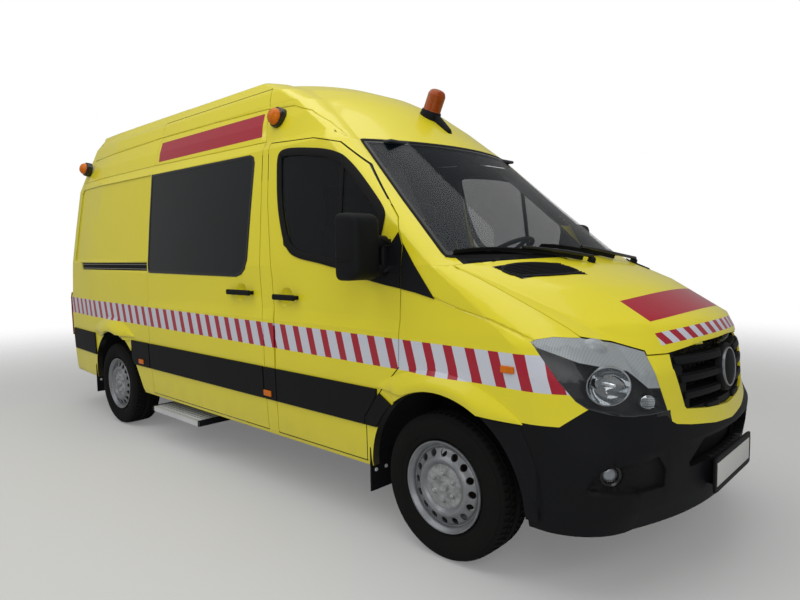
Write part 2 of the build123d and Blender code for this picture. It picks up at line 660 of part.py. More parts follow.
# Front bumper with its intake and fog lamp pockets
bumper_side = [(BUMPER_REAR_X, 0), (BUMPER_REAR_X, BUMPER_TOP_Z)] + BUMPER_LINE + [(BUMPER_LINE[-1][0], 0)]
bumper_zone = across(from_axle(bumper_side), -HALF - 30, HALF + 30)
bumper = (SHELL & bumper_zone) - ARCHES - lamp_hole - other_side(lamp_hole) - nose_prism
bumper += (front_flare + other_side(front_flare)) & bumper_zone
bumper -= along(mirrored_outline([INTAKE_TOP] + INTAKE), AXLE_F + 700, LENGTH)
pocket = lamp_plane * (Pos(0, 0, LAMP_FROM) * extrude(outline(FOG_POCKET), amount=LAMP_REACH))
pocket &= outer_layer(-POCKET_DEPTH, POCKET_DEPTH, 0)
fog_axis = lamp_plane * Pos(*FOG_PLACE, LAMP_FROM + LAMP_REACH / 2)
pocket += fog_axis * Cylinder(FOG_RADIUS, LAMP_REACH)
bumper -= pocket + other_side(pocket)
plate_x = AXLE_F + FRONT_OVERHANG
carrier = block(plate_x - 60, plate_x - PLATE_THICK - SEAT, 10 - PLATE_HALF, PLATE_HALF - 10, PLATE_Z + 8,
                PLATE_Z + PLATE_HEIGHT - 8)
bumper += carrier
keep("front_bumper", bumper)
fog_layer = Pos(-FOG_SET_BACK, FOG_SET_BACK, 0) * BODY
fog_layer -= Pos(-FOG_SET_BACK - FOG_THICK, FOG_SET_BACK + FOG_THICK, 0) * BODY
fog = fog_layer & (fog_axis * Cylinder(FOG_RADIUS - SEAT, LAMP_REACH))
keep("front_lamps", fog, other_side(fog))
keep("number_plates",
     block(plate_x - PLATE_THICK, plate_x, -PLATE_HALF, PLATE_HALF, PLATE_Z, PLATE_Z + PLATE_HEIGHT))

# Wings between the front doors and the lamps
wing_zone = block(AXLE_F + FRONT_DOOR[0][0] - 10, LENGTH, -HALF - 20, -CENTRE_CLEAR, 0, PILLAR_FOOT_Z - SEAT)
wing = (cab_walls & wing_zone) - front_door_hole - nose_prism - cowl_zone
wing = (wing + front_flare) - bonnet_hole - lamp_hole - bumper_zone - groove(WING_GROOVE, 12)
wing_parts = [piece for piece in wing.solids() if piece.volume > 1e5]
keep("wings", *wing_parts, *[other_side(piece) for piece in wing_parts])

# Front doors
front_glass_hole = side_plate(FRONT_GLASS)
front_door = (SHELL & side_plate(FRONT_DOOR)) - front_glass_hole - handle_cup(HANDLES[0])
front_pane = outer_layer(0, PANE, 0) & side_plate(FRONT_GLASS, -GLASS_GAP)
both_sides("front_door", front_door)
both_sides("front_door_glass", front_pane)

# Rear doors, meeting on the centre line
for side, name in ((-1, "right"), (1, "left")):
    low, high = sorted((side * REAR_GAP / 2, side * REAR_DOOR_HALF))
    near, far = sorted((side * REAR_GLASS_Y[0], side * REAR_GLASS_Y[1]))
    plate = rear_plate(low, high, *REAR_DOOR_Z)
    hole = rear_plate(near, far, *REAR_GLASS_Z)
    pane = rear_plate(near + GLASS_GAP, far - GLASS_GAP, REAR_GLASS_Z[0] + GLASS_GAP,
                      REAR_GLASS_Z[1] - GLASS_GAP)
    keep("rear_door_" + name, (SHELL & plate) - hole)
    keep("rear_door_glass_" + name, outer_layer(PANE, 0, 0) & pane)


# Rub strips, standing proud of the panels that carry them
def strip(span):
    """A length of rub strip on the right-hand side."""
    band = block(AXLE_F + span[0], AXLE_F + span[1], -HALF - 60, -CENTRE_CLEAR, *STRIP_Z)
    return ((Pos(0, -STRIP_PROUD, 0) * BODY) - BODY) & band


for span in STRIP_SPANS + [SLIDE_STRIP]:
    piece = (strip(span) - rear_flare) - ARCHES
    keep("body_trim", piece, other_side(piece))
both_sides("front_door_trim", strip(DOOR_STRIP) & side_plate(FRONT_DOOR), door_handle(HANDLES[0]))
piece = (strip((-505, -285)) & side_plate(WING_STRIP)) - front_door_hole - front_flare - ARCHES
keep("body_trim", piece, other_side(piece))
keep("body_trim", door_handle(HANDLES[1]))
foot_layer = (Pos(0, -FOOT_PROUD, 0) * BODY) - BODY
sail = (foot_layer & side_plate(SAIL)) - front_door_hole
keep("body_trim", sail, other_side(sail))

# Floor with its rails, cut away over the wheels
floor_room = body_solid(WALL + SEAT)
liner_reach = ARCH_RADIUS + LINER_WALL
floor_front = AXLE_F + BULKHEAD_X - SEAT
plate = floor_room & block(REAR, floor_front, -HALF, HALF, FLOOR_Z - FLOOR_THICK, FLOOR_Z)
for x, inner_y in WHEEL_HOUSINGS:
    for side in (-1, 1):
        near, far = sorted((side * (inner_y - LINER_WALL - SEAT), side * (HALF + 20)))
        plate -= drum(x, WHEEL_Z, liner_reach + SEAT, near, far)
rail_top = FLOOR_Z - FLOOR_THICK
for side in (-1, 1):
    near, far = side * RAIL_Y - RAIL_WIDTH / 2, side * RAIL_Y + RAIL_WIDTH / 2
    plate += block(REAR + STEP_DEPTH + 60, AXLE_F + RAIL_FRONT_X, near, far, rail_top - RAIL_DEPTH, rail_top)
    beam_y = side * SILL_BEAM_Y
    plate += block(AXLE_R + liner_reach + 40, AXLE_F - liner_reach - 40, beam_y - SILL_BEAM[0] / 2,
                   beam_y + SILL_BEAM[0] / 2, rail_top - SILL_BEAM[1], rail_top)
for x in CROSS_MEMBER_X:
    plate += block(AXLE_F + x - 40, AXLE_F + x + 40, -RAIL_Y, RAIL_Y, rail_top - CROSS_MEMBER_DEPTH, rail_top)
track_x0, track_x1, track_half, track_high = LITTER_TRACK
plate += block(AXLE_F + track_x0, AXLE_F + track_x1, -track_half, track_half, FLOOR_Z, FLOOR_Z + track_high)
keep("floor", plate)

# Arch liners
for x, inner_y in WHEEL_HOUSINGS:
    for side in (-1, 1):
        near, far = sorted((side * (inner_y - LINER_WALL), side * HALF))
        bowl = drum(x, WHEEL_Z, liner_reach, near, far)
        near, far = sorted((side * inner_y, side * (HALF + 20)))
        bowl -= drum(x, WHEEL_Z, ARCH_RADIUS, near, far)
        bowl -= block(x - liner_reach, x + liner_reach, -HALF, HALF, -HEIGHT, LINER_LOW_Z)
        keep("arch_liners", bowl & floor_room)

# Bulkhead ahead of the cab, and the partition behind it
bulkhead = floor_room & block(AXLE_F + BULKHEAD_X, AXLE_F + BULKHEAD_X + BULKHEAD_THICK, -HALF, HALF,
                        FLOOR_Z - FLOOR_THICK, BULKHEAD_TOP_Z)
for side in (-1, 1):
    near, far = sorted((side * (FRONT_LINER_Y - LINER_WALL - SEAT), side * (HALF + 20)))
    bulkhead -= drum(AXLE_F, WHEEL_Z, liner_reach + SEAT, near, far)
keep("bulkheads", bulkhead)
partition = floor_room & block(AXLE_F + PARTITION_X, AXLE_F + PARTITION_X + PARTITION_THICK, -HALF, HALF,
                         FLOOR_Z + SEAT, HEIGHT)
partition -= block(AXLE_F + PARTITION_X - 10, AXLE_F, *PARTITION_DOOR)
keep("bulkheads", partition)

# Dashboard against the bulkhead
dash_half = HALF - WALL - DASH_SIDE_GAP
dash = across(from_axle([(BULKHEAD_X - SEAT + x, z) for x, z in DASH]), -dash_half, dash_half, DASH_CORNER)
dash &= floor_room

# Steering wheel, tilted on its column
wheel_plane = Plane((AXLE_F + STEER_CENTRE[0], STEER_CENTRE[1], STEER_CENTRE[2]),
                    x_dir=(0, 1, 0), z_dir=(-sin(radians(STEER_TILT)), 0, cos(radians(STEER_TILT))))
steering = Torus(STEER_RADIUS - STEER_RIM, STEER_RIM) + Pos(0, 0, -22) * Cylinder(62, 44)
for turn in (90, 210, 330):
    steering += Rot(0, 0, turn) * Pos(STEER_RADIUS / 2, 0, -10) * Box(STEER_RADIUS - 30, 34, 14)
keep("steering_wheel", wheel_plane * steering)
column = wheel_plane * (Pos(0, 0, -44 - SEAT - COLUMN_LENGTH / 2) * Cylinder(32, COLUMN_LENGTH)) - dash
column = max(column.solids(), key=lambda piece: piece.center().Z)
keep("dashboard", dash + column)

# Seats: a pedestal, and cushions that stay plain
for y, width in SEAT_PLACES:
    seat_x = AXLE_F + SEAT_X
    keep("seat_bases", block(seat_x - 220, seat_x + 220, y - width / 2 + 40, y + width / 2 - 40, FLOOR_Z,
                             SEAT_CUSHION_Z - CUSHION_THICK - SEAT))
    cushion = block(seat_x - 250, seat_x + 250, y - width / 2, y + width / 2,
                    SEAT_CUSHION_Z - CUSHION_THICK, SEAT_CUSHION_Z)
    back_x = seat_x - 250 + BACK_THICK / 2
    back = Pos(back_x, y, SEAT_CUSHION_Z + SEAT + BACK_HEIGHT / 2) * Box(BACK_THICK, width, BACK_HEIGHT)
    rest = Pos(back_x, y, SEAT_CUSHION_Z + BACK_HEIGHT + SEAT * 2 + 90) * Box(90, 250, 180)
    keep("seat_cushions", fillet(cushion.edges(), 35), fillet(back.edges(), 35), fillet(rest.edges(), 30))

# Engine as one plain block between the rails
engine = block(AXLE_F + ENGINE[0], AXLE_F + ENGINE[1], -ENGINE[2], ENGINE[2], ENGINE[3], ENGINE[4])
engine += block(AXLE_F + RADIATOR[0], AXLE_F + RADIATOR[1], -RADIATOR[2], RADIATOR[2], RADIATOR[3],
                RADIATOR[4])
keep("engine", engine)

# Front suspension: a cross member, lower arms and struts up to the wheel housings
subframe = block(AXLE_F - 110, AXLE_F + 110, -SUBFRAME_HALF, SUBFRAME_HALF, 250, 330)
for side in (-1, 1):
    tip = (AXLE_F, side * KINGPIN_Y, 252)
    for reach in (-190, 190):
        subframe += rod((AXLE_F + reach * 0.5, side * (SUBFRAME_HALF - 30), 290), tip, 22)
    subframe += Pos(AXLE_F, side * KINGPIN_Y, 0) * (Pos(0, 0, (240 + KNUCKLE_Z[0] - SEAT) / 2) * Cylinder(
        28, KNUCKLE_Z[0] - SEAT - 240))
    near, far = sorted((side * (RAIL_Y - RAIL_WIDTH / 2), side * (RAIL_Y + RAIL_WIDTH / 2)))
    subframe += block(AXLE_F - 90, AXLE_F + 90, near, far, 300, rail_top - RAIL_DEPTH)
strut_top = WHEEL_Z + sqrt(ARCH_RADIUS ** 2 - COIL_RADIUS ** 2) - SEAT
strut = Pos(AXLE_F, -STRUT_Y, (STRUT_LOW + strut_top) / 2) * Cylinder(STRUT_RADIUS, strut_top - STRUT_LOW)
coil_high = strut_top - STRUT_COIL_LOW
strut += Pos(AXLE_F, -STRUT_Y, STRUT_COIL_LOW + coil_high / 2) * Cylinder(COIL_RADIUS, coil_high)
keep("front_suspension", subframe + strut + other_side(strut))

# Rear axle beam with its differential, on leaf springs
axle_end = WHEEL_Y - 105
hub_end = WHEEL_Y + RIM_WIDTH / 2 - HUB_SEAT - SEAT
beam = Pos(AXLE_R, 0, WHEEL_Z) * Rot(90, 0, 0) * Cylinder(AXLE_TUBE_RADIUS, 2 * axle_end)
beam += Pos(AXLE_R, 0, WHEEL_Z) * scale(Sphere(DIFF_RADIUS), by=(1, 0.85, 1))
for side in (-1, 1):
    beam += drum(AXLE_R, WHEEL_Z, HUB_RADIUS, *sorted((side * (axle_end - 30), side * hub_end)))
keep("rear_axle", beam)
spring_low = WHEEL_Z + AXLE_TUBE_RADIUS
for side in (-1, 1):
    y0, y1 = side * SPRING_Y - SPRING_WIDTH / 2, side * SPRING_Y + SPRING_WIDTH / 2
    leaf = make_face(Curve() + [
        ThreePointArc((AXLE_R - SPRING_HALF_SPAN, spring_low + SPRING_ARCH),
                      (AXLE_R, spring_low), (AXLE_R + SPRING_HALF_SPAN, spring_low + SPRING_ARCH)),
        Line((AXLE_R + SPRING_HALF_SPAN, spring_low + SPRING_ARCH),
             (AXLE_R + SPRING_HALF_SPAN, spring_low + SPRING_ARCH + 16)),
        ThreePointArc((AXLE_R + SPRING_HALF_SPAN, spring_low + SPRING_ARCH + 16), (AXLE_R, spring_low + 30),
                      (AXLE_R - SPRING_HALF_SPAN, spring_low + SPRING_ARCH + 16)),
        Line((AXLE_R - SPRING_HALF_SPAN, spring_low + SPRING_ARCH + 16),
             (AXLE_R - SPRING_HALF_SPAN, spring_low + SPRING_ARCH))])
    spring = Pos(0, y0, 0) * extrude(Plane.XZ * leaf, amount=-SPRING_WIDTH)
    for end in (-1, 1):
        x = AXLE_R + end * (SPRING_HALF_SPAN - 25)
        near, far = sorted((side * (RAIL_Y + RAIL_WIDTH / 2 + SEAT), side * (SPRING_Y + 35)))
        spring += block(x - 25, x + 25, near, far, spring_low + SPRING_ARCH - 10, rail_top - 4)
    keep("leaf_springs", spring)

# Drive shaft, exhaust and fuel tank
shaft_front = AXLE_F + ENGINE[0] - GEARBOX_LENGTH + 2
gearbox = block(AXLE_F + ENGINE[0] - GEARBOX_LENGTH, AXLE_F + ENGINE[0] - SEAT, -130, 130, 330, 530)
shaft = rod((shaft_front, 0, 450), (AXLE_R + DIFF_RADIUS - 6, 0, WHEEL_Z + 10), SHAFT_RADIUS) - beam
keep("driveline", gearbox + max(shaft.solids(), key=lambda piece: piece.volume))
tank = block(AXLE_F - 1400, AXLE_F - 640, RAIL_Y + RAIL_WIDTH / 2 + SEAT,
             SILL_BEAM_Y - SILL_BEAM[0] / 2 - SEAT, 330, rail_top - SEAT)
keep("fuel_tank", fillet(tank.edges(), 40))
silencer = Rot(0, 90, 0) * Cylinder(SILENCER[1], SILENCER[3])
exhaust = Pos(AXLE_F + SILENCER[0], EXHAUST_Y, SILENCER[2]) * silencer
for start, end in zip(EXHAUST_RUN, EXHAUST_RUN[1:]):
    start, end = [(AXLE_R + x, EXHAUST_Y, z) for x, z in (start, end)]
    exhaust += rod(start, end, EXHAUST_RADIUS) + Pos(*end) * Sphere(EXHAUST_RADIUS)
exhaust += block(AXLE_F + HANGER_X - 20, AXLE_F + HANGER_X + 20, EXHAUST_Y - 12, EXHAUST_Y + 12, SILENCER[2],
                 rail_top - CROSS_MEMBER_DEPTH - SEAT)
keep("exhaust", exhaust)

# Wheels and their hubs
tyre_half = TYRE_WIDTH / 2
rim_half = RIM_WIDTH / 2
tyre_profile = [
    (RIM_RADIUS + 2, -rim_half), (RIM_RADIUS + 18, -rim_half - 12), (TYRE_RADIUS - 70, -tyre_half),
    (TYRE_RADIUS - 35, -tyre_half), (TYRE_RADIUS - 6, -tyre_half + 22), (TYRE_RADIUS, -tyre_half + 48)]
tyre_profile += [(radius, -y) for radius, y in reversed(tyre_profile)]


def spun(points, face_plane=Plane.XZ):
    """A closed (radius, offset) outline spun into a wheel that lies across the vehicle."""
    return Rot(-90, 0, 0) * revolve(face_plane * outline(points), Axis.Z)


rim_profile = [
    (RIM_LIP_RADIUS, -rim_half - 14), (RIM_LIP_RADIUS - 4, -rim_half - 20), (RIM_RADIUS + 3, -rim_half - 9),
    (RIM_RADIUS - 6, -rim_half - 3), (RIM_RADIUS - 13, -rim_half + 9), (RIM_RADIUS - 16, -rim_half + 31),
    (RIM_RADIUS - 22, -rim_half + 39), (170, -rim_half + 27), (146, -rim_half + 14), (134, -rim_half + 11),
    (124, -rim_half + 17), (114, -rim_half + 33), (106, -rim_half + 44), (0, -rim_half + 44),
    (0, -rim_half + HUB_SEAT), (110, -rim_half + HUB_SEAT), (124, -rim_half + 38), (132, -rim_half + 24),
    (146, -rim_half + 26), (168, -rim_half + 40), (RIM_RADIUS - 26, -rim_half + 56),
    (RIM_RADIUS - 14, rim_half - 10), (RIM_RADIUS - 4, rim_half + 10), (RIM_LIP_RADIUS - 4, rim_half + 18),
    (RIM_LIP_RADIUS, rim_half + 14), (RIM_RADIUS + 1, rim_half), (RIM_RADIUS + 1, -rim_half)]
tyre = spun(tyre_profile)
rim = spun(rim_profile)
for index in range(RIM_HOLES):
    turn = 360 / RIM_HOLES * index
    bore = Pos(RIM_HOLE_CIRCLE, -rim_half + 40, 0) * Rot(90, 0, 0) * Cylinder(RIM_HOLE_RADIUS, 60)
    rim -= Rot(0, turn, 0) * bore
for place, x in (("front", AXLE_F), ("rear", AXLE_R)):
    right_tyre = Pos(x, -WHEEL_Y, WHEEL_Z) * tyre
    right_rim = Pos(x, -WHEEL_Y, WHEEL_Z) * rim
    keep(f"tyre_{place}_right", right_tyre)
    keep(f"tyre_{place}_left", other_side(right_tyre))
    keep(f"rim_{place}_right", right_rim)
    keep(f"rim_{place}_left", other_side(right_rim))

# Steering knuckles that carry the front hubs
hub_face_y = -WHEEL_Y - rim_half + HUB_SEAT + SEAT
knuckle = drum(AXLE_F, WHEEL_Z, HUB_RADIUS, hub_face_y, hub_face_y + 60)
knuckle += drum(AXLE_F, WHEEL_Z, 46, hub_face_y + 60, -KINGPIN_Y + 30)
knuckle += drum(AXLE_F, WHEEL_Z, DISC_RADIUS, hub_face_y + 62, hub_face_y + 86)
knuckle += block(AXLE_F - 45, AXLE_F + 45, -KINGPIN_Y - 25, -KINGPIN_Y + 25, *KNUCKLE_Z)
both_sides("knuckle", knuckle)

# Mirrors on their arms
mx0, mx1, my0, my1, mz0, mz1 = MIRROR
housing = fillet(block(AXLE_F + mx0, AXLE_F + mx1, -my1, -my0 - 20, mz0, mz1).edges(), 38)
foot_layer = (Pos(0, -FOOT_PROUD, 0) * BODY) - BODY
mirror_piece = foot_layer & side_plate(MIRROR_FOOT) & side_plate(FRONT_DOOR)
for arm_z0, arm_z1 in MIRROR_ARM_Z:
    mirror_piece += block(AXLE_F + mx1 - 60, AXLE_F + mx1 - 15, -my0 - 60, -HALF + 50, arm_z0, arm_z1) - BODY
both_sides("front_door_trim", housing + mirror_piece)

# Lamps and fittings of the roof
stand = Pos(AXLE_F + BEACON_X, 0, BEACON_Z) * Rot(0, BEACON_TILT, 0)
base = (stand * Pos(0, 0, 10) * Cylinder(BEACON_RADIUS + 6, 120)) - BODY
keep("beacon_base", *[piece for piece in base.solids() if piece.center().Z > BEACON_Z - 20])
dome_high = BEACON_HEIGHT - 70
keep("beacon", stand * (Pos(0, 0, 70 + SEAT + dome_high / 2) * Cylinder(BEACON_RADIUS, dome_high)))
for x, z in CORNER_LAMPS:
    side_y = half_width(z)
    lamp = Pos(AXLE_F + x, -side_y, z) * Rot(90, 0, 0) * Cylinder(CORNER_LAMP_RADIUS, 2 * CORNER_LAMP_REACH)
    lamp = (lamp & block(REAR, LENGTH, -side_y - CORNER_LAMP_REACH, 0, z - 200, z + 200)) - BODY
    outer = [piece for piece in lamp.solids() if piece.center().Y < -side_y + 20]
    keep("corner_lamps", *outer, *[other_side(piece) for piece in outer])
ux0, ux1, unit_half, unit_high = ROOF_UNIT
unit = block(AXLE_F + ux0, AXLE_F + ux1, -unit_half, unit_half, HEIGHT - 60, HEIGHT + unit_high)
unit = chamfer(unit.faces().sort_by(Axis.Z)[-1].edges(), 45, 110) - BODY
keep("roof_unit", *[piece for piece in unit.solids() if piece.center().Z > HEIGHT - 20])

# Rear bumper, tail lamps, side step and mud flaps
bumper_plan = [(REAR, -640), (REAR + 40, -800), (TAIL + 150, -HALF + 62), (TAIL + 150, HALF - 62),
               (REAR + 40, 800), (REAR, 640)]
step = upward(bumper_plan, *REAR_BUMPER_Z) - BODY
keep("rear_bumper", max(step.solids(), key=lambda piece: piece.volume))
lamp_band = block(REAR, TAIL + 62, -HALF, -REAR_DOOR_HALF - 24, *TAIL_LAMP_Z)
tail_lamp = ((Pos(-TAIL_LAMP_DEPTH / 2, -6, 0) * BODY) - BODY) & lamp_band
keep("tail_lamps", tail_lamp, other_side(tail_lamp))
near, far = -RAIL_Y - TOW_EYE_WIDTH / 2, -RAIL_Y + TOW_EYE_WIDTH / 2
eye = drum(REAR + TOW_EYE_X, TOW_EYE_Z, TOW_EYE_RADIUS, near, far)
eye += block(REAR + TOW_EYE_X, TAIL + 110, near, far, TOW_EYE_Z - 14, TOW_EYE_Z + 14)
eye += block(TAIL + 70, TAIL + 110, near, far, TOW_EYE_Z - 14, rail_top - RAIL_DEPTH - SEAT)
eye -= drum(REAR + TOW_EYE_X, TOW_EYE_Z, TOW_EYE_BORE, -RAIL_Y - TOW_EYE_WIDTH, -RAIL_Y + TOW_EYE_WIDTH)
keep("tow_eye", eye)
sx0, sx1, sy0, sy1, sz0, sz1 = STEP
tread = block(AXLE_F + sx0, AXLE_F + sx1, -sy1, -sy0, sz0, sz1)
for x in (sx0 + 120, sx1 - 120):
    tread += block(AXLE_F + x - 20, AXLE_F + x + 20, -SILL_BEAM_Y - 20, -SILL_BEAM_Y + 20, sz1,
                   rail_top - SILL_BEAM[1])
keep("side_step", tread)
for x, reach in ((AXLE_F, FLAP_FRONT_REACH), (AXLE_R, FLAP_REAR_REACH)):
    flap = block(x - reach - FLAP_THICK, x - reach, -HALF + 25, -REAR_LINER_Y - 60, FLAP_LOW_Z, WHEEL_Z + 120)
    flap -= SHELL
    keep("arch_liners", flap, other_side(flap))

if __name__ == "__main__":
    os.makedirs("parts", exist_ok=True)
    for node, solids in MODEL.items():
        export_step(Compound(solids), f"parts/{node}.step")
        litres = sum(solid.volume for solid in solids) / 1e6
        print(node, len(solids), round(litres, 2), all(solid.is_valid for solid in solids))
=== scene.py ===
"""High-roof panel van ambulance: the looks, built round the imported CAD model."""
import json
import math
from contextlib import contextmanager
from functools import partial, reduce
import bmesh
import bpy
from bpy.props import FloatProperty, FloatVectorProperty, IntProperty, PointerProperty
from bpy.types import Operator, Panel, PropertyGroup
from mathutils import Matrix, Vector, geometry

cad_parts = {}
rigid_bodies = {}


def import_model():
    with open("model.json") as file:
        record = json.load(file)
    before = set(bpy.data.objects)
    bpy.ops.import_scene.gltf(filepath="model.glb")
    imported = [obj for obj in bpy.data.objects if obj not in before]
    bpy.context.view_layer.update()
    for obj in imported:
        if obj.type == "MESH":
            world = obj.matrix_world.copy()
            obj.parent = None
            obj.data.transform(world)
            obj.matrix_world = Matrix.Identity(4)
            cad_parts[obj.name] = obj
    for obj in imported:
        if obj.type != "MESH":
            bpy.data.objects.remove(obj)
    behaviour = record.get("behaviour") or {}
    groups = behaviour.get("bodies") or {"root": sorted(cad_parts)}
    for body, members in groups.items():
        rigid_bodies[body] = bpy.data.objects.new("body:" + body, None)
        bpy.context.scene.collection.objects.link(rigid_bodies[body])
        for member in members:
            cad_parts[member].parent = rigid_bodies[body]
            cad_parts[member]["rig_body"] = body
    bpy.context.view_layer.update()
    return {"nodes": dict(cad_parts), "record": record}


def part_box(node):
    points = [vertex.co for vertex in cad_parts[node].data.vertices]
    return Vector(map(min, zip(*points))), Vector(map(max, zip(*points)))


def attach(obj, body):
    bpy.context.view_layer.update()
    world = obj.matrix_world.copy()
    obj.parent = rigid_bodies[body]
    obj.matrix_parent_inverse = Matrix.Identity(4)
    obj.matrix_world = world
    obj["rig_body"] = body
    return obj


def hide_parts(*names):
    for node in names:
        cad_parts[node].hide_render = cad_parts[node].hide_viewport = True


bl_info = {
    "name": "High-roof ambulance van",
    "version": (1, 0, 0),
    "blender": (4, 5, 0),
    "location": "View3D > Sidebar > Ambulance",
    "description": "Dresses the packed van with paint, lamps, tyres, trim and a cab",
    "category": "Object",
}

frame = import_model()
NODES = frame["nodes"]
BODY_OF = {name: part["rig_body"] for name, part in NODES.items()}
SLOT_OF = {row["node"]: row["material_slot"] for row in frame["record"]["subparts"]}


def middle_of(name):
    """The middle of a CAD node's box."""
    return [(low + high) / 2 for low, high in zip(*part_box(name))]


# The axles' distances ahead of the origin, a wheel's height and distance from the middle, and the tail
AXLE_F, RIGHT_Y, WHEEL_Z = middle_of("tyre_front_right")
AXLE_R = middle_of("tyre_rear_right")[0]
WHEEL_Y = -RIGHT_Y
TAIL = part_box("rear_door_right")[0].x
SIDES = (("right", -1), ("left", 1))


def linear(code):
    """An sRGB hex colour as the linear colour that Blender works in."""
    channels = [int(code[place:place + 2], 16) / 255 for place in (0, 2, 4)]
    return tuple(c / 12.92 if c <= 0.04045 else ((c + 0.055) / 1.055) ** 2.4 for c in channels) + (1.0,)


def feed(shader, inputs):
    """Set a node's sockets: another node's output is linked and a plain value is set."""
    for name, value in inputs.items():
        if isinstance(value, bpy.types.NodeSocket):
            shader.id_data.links.new(value, shader.inputs[name])
        else:
            shader.inputs[name].default_value = value


def node(tree, kind, *values, out=0, **settings):
    """Add one shader node with its settings and links, and give one of its outputs.

    kind is the node's name, or in capitals what a Math node works out. The values fill its inputs in their
    order, and a dictionary fills them by name."""
    if kind.isupper():
        kind, settings["operation"] = "Math", kind
    added = tree.nodes.new("ShaderNode" + kind)
    for name, value in settings.items():
        setattr(added, name, value)
    for place, value in enumerate(values):
        feed(added, value if isinstance(value, dict) else {place: value})
    return added.outputs[out]


def begin(name, **sockets):
    """Start a material: gives it, its Principled shader, the way to add nodes, and the place."""
    made = bpy.data.materials.new(name)
    made.use_nodes = True
    shader = made.node_tree.nodes["Principled BSDF"]
    feed(shader, {socket.replace("_", " "): value for socket, value in sockets.items()})
    add = partial(node, made.node_tree)
    return made, shader, add, add("TexCoord", out="Object")


def grained(name, colour, shade, roughness, grain, relief, patch=0.3, spread=0.08, **sockets):
    """A finish that drifts between two colours over patches, with a fine grain in relief.

    grain and patch are in metres; relief is the depth of the grain in metres."""
    made, shader, add, place = begin(name, **sockets)
    drift = add("TexNoise", {"Vector": place, "Scale": 1 / patch, "Detail": 5.0}, out="Fac")
    fine = add("TexNoise", {"Vector": place, "Scale": 1 / grain, "Detail": 2.0}, out="Fac")
    feed(shader, {"Base Color": add("MixRGB", drift, linear(colour), linear(shade)),
                  "Roughness": add("MapRange", {"Value": drift, "To Min": roughness - spread,
                                                "To Max": roughness + spread}),
                  "Normal": add("Bump", {"Height": fine, "Distance": relief, "Strength": 0.6})})
    return made


def every(add, *masks):
    """The mask of where all of these hold."""
    return reduce(partial(add, "MULTIPLY"), masks)


def either(add, *masks):
    """The mask of where any of these holds."""
    return reduce(partial(add, "MAXIMUM"), masks)


# Where the livery lies, lengthwise from the front axle: the sides begin, the tail's corner, the first bar
FLANK_Y, TAIL_Y, TAIL_REACH, FIRST_BAR = 0.60, 0.985, 0.11, -0.342
# The bonnet band: its start, half its width, how it follows the bonnet's edge, and the slant of its bars
NOSE_START, NOSE_HALF, NOSE_CURVE, NOSE_SLANT = 0.55, 0.49, 0.13, 0.6
# The header's stripe: its middle and half its length
HEADER_X, HEADER_HALF = -1.96, 0.72
# The bonnet's stripe: its height over the band, half its height and half its width
STRIPE_RISE, STRIPE_HALF_HEIGHT, STRIPE_HALF = 0.137, 0.042, 0.47


def livery_colour(add, place, paint, colours, livery):
    """The paint with its retroreflective bands of slanted red bars and its plain red stripes."""
    x, y, z = add("SeparateXYZ", place).node.outputs
    away = add("ABSOLUTE", y)
    flank = add("GREATER_THAN", away, FLANK_Y)
    # The side band falls a little towards the front, and runs on round the tail
    top = add("MULTIPLY_ADD", x, -livery.band_fall, livery.band_top + livery.band_fall * AXLE_F)
    depth = add("SUBTRACT", top, z)
    at_tail = add("LESS_THAN", x, TAIL + TAIL_REACH)
    round_tail = add("MULTIPLY", add("SUBTRACT", TAIL_Y, away), at_tail)
    slanted = add("MULTIPLY_ADD", depth, -livery.bar_slant, add("SUBTRACT", x, round_tail))
    side_band = every(add, add("GREATER_THAN", depth, 0.0), add("LESS_THAN", depth, livery.band_height),
                      add("MAXIMUM", at_tail, flank))
    count = add("DIVIDE", add("SUBTRACT", slanted, AXLE_F + FIRST_BAR), livery.bar_pitch)
    side_bars = add("LESS_THAN", add("FRACT", count), livery.bar_share)
    # The bonnet's own band follows its front edge
    bow = add("MULTIPLY", add("MULTIPLY", y, y), NOSE_CURVE)
    rise = add("SUBTRACT", add("ADD", z, bow), livery.nose_band_z)
    on_nose = add("GREATER_THAN", x, AXLE_F + NOSE_START)
    nose_band = every(add, on_nose, add("LESS_THAN", away, NOSE_HALF), add("GREATER_THAN", rise, 0.0),
                      add("LESS_THAN", rise, livery.nose_band_height))
    count = add("DIVIDE", add("MULTIPLY_ADD", rise, NOSE_SLANT, y), livery.nose_pitch)
    nose_bars = add("LESS_THAN", add("FRACT", count), 0.5)
    # A plain red stripe on each side of the header, and one across the bonnet
    header = every(add, flank, add("COMPARE", z, livery.header_z, livery.header_height / 2),
                   add("COMPARE", slanted, AXLE_F + HEADER_X, HEADER_HALF))
    across = every(add, on_nose, add("COMPARE", rise, STRIPE_RISE, STRIPE_HALF_HEIGHT),
                   add("LESS_THAN", away, STRIPE_HALF))
    banded = add("MixRGB", add("MAXIMUM", side_band, nose_band), paint, (*colours.band, 1))
    red = either(add, every(add, side_band, side_bars), every(add, nose_band, nose_bars), header, across)
    return add("MixRGB", red, banded, (*colours.bar, 1))


# A face belongs to the inside where it looks towards the van's spine, which runs between these places
SPINE_ENDS, SPINE_HEIGHTS = (AXLE_R - 0.9, AXLE_F - 0.35), (1.0, 1.9)
CAB_START, ENGINE_START = AXLE_F - 1.66, AXLE_F - 0.05
# The wheel wells' faces lie within this reach of a hub
WELL_RADIUS = 0.62
# The nose panel's foot is ahead of, below and farther out than these
FOOT_X, FOOT_Z, FOOT_Y = AXLE_F + 0.84, 0.79, 0.525
# Dust starts at the first height and is full at the second
DUST_TOP, DUST_FULL = 0.62, 0.34


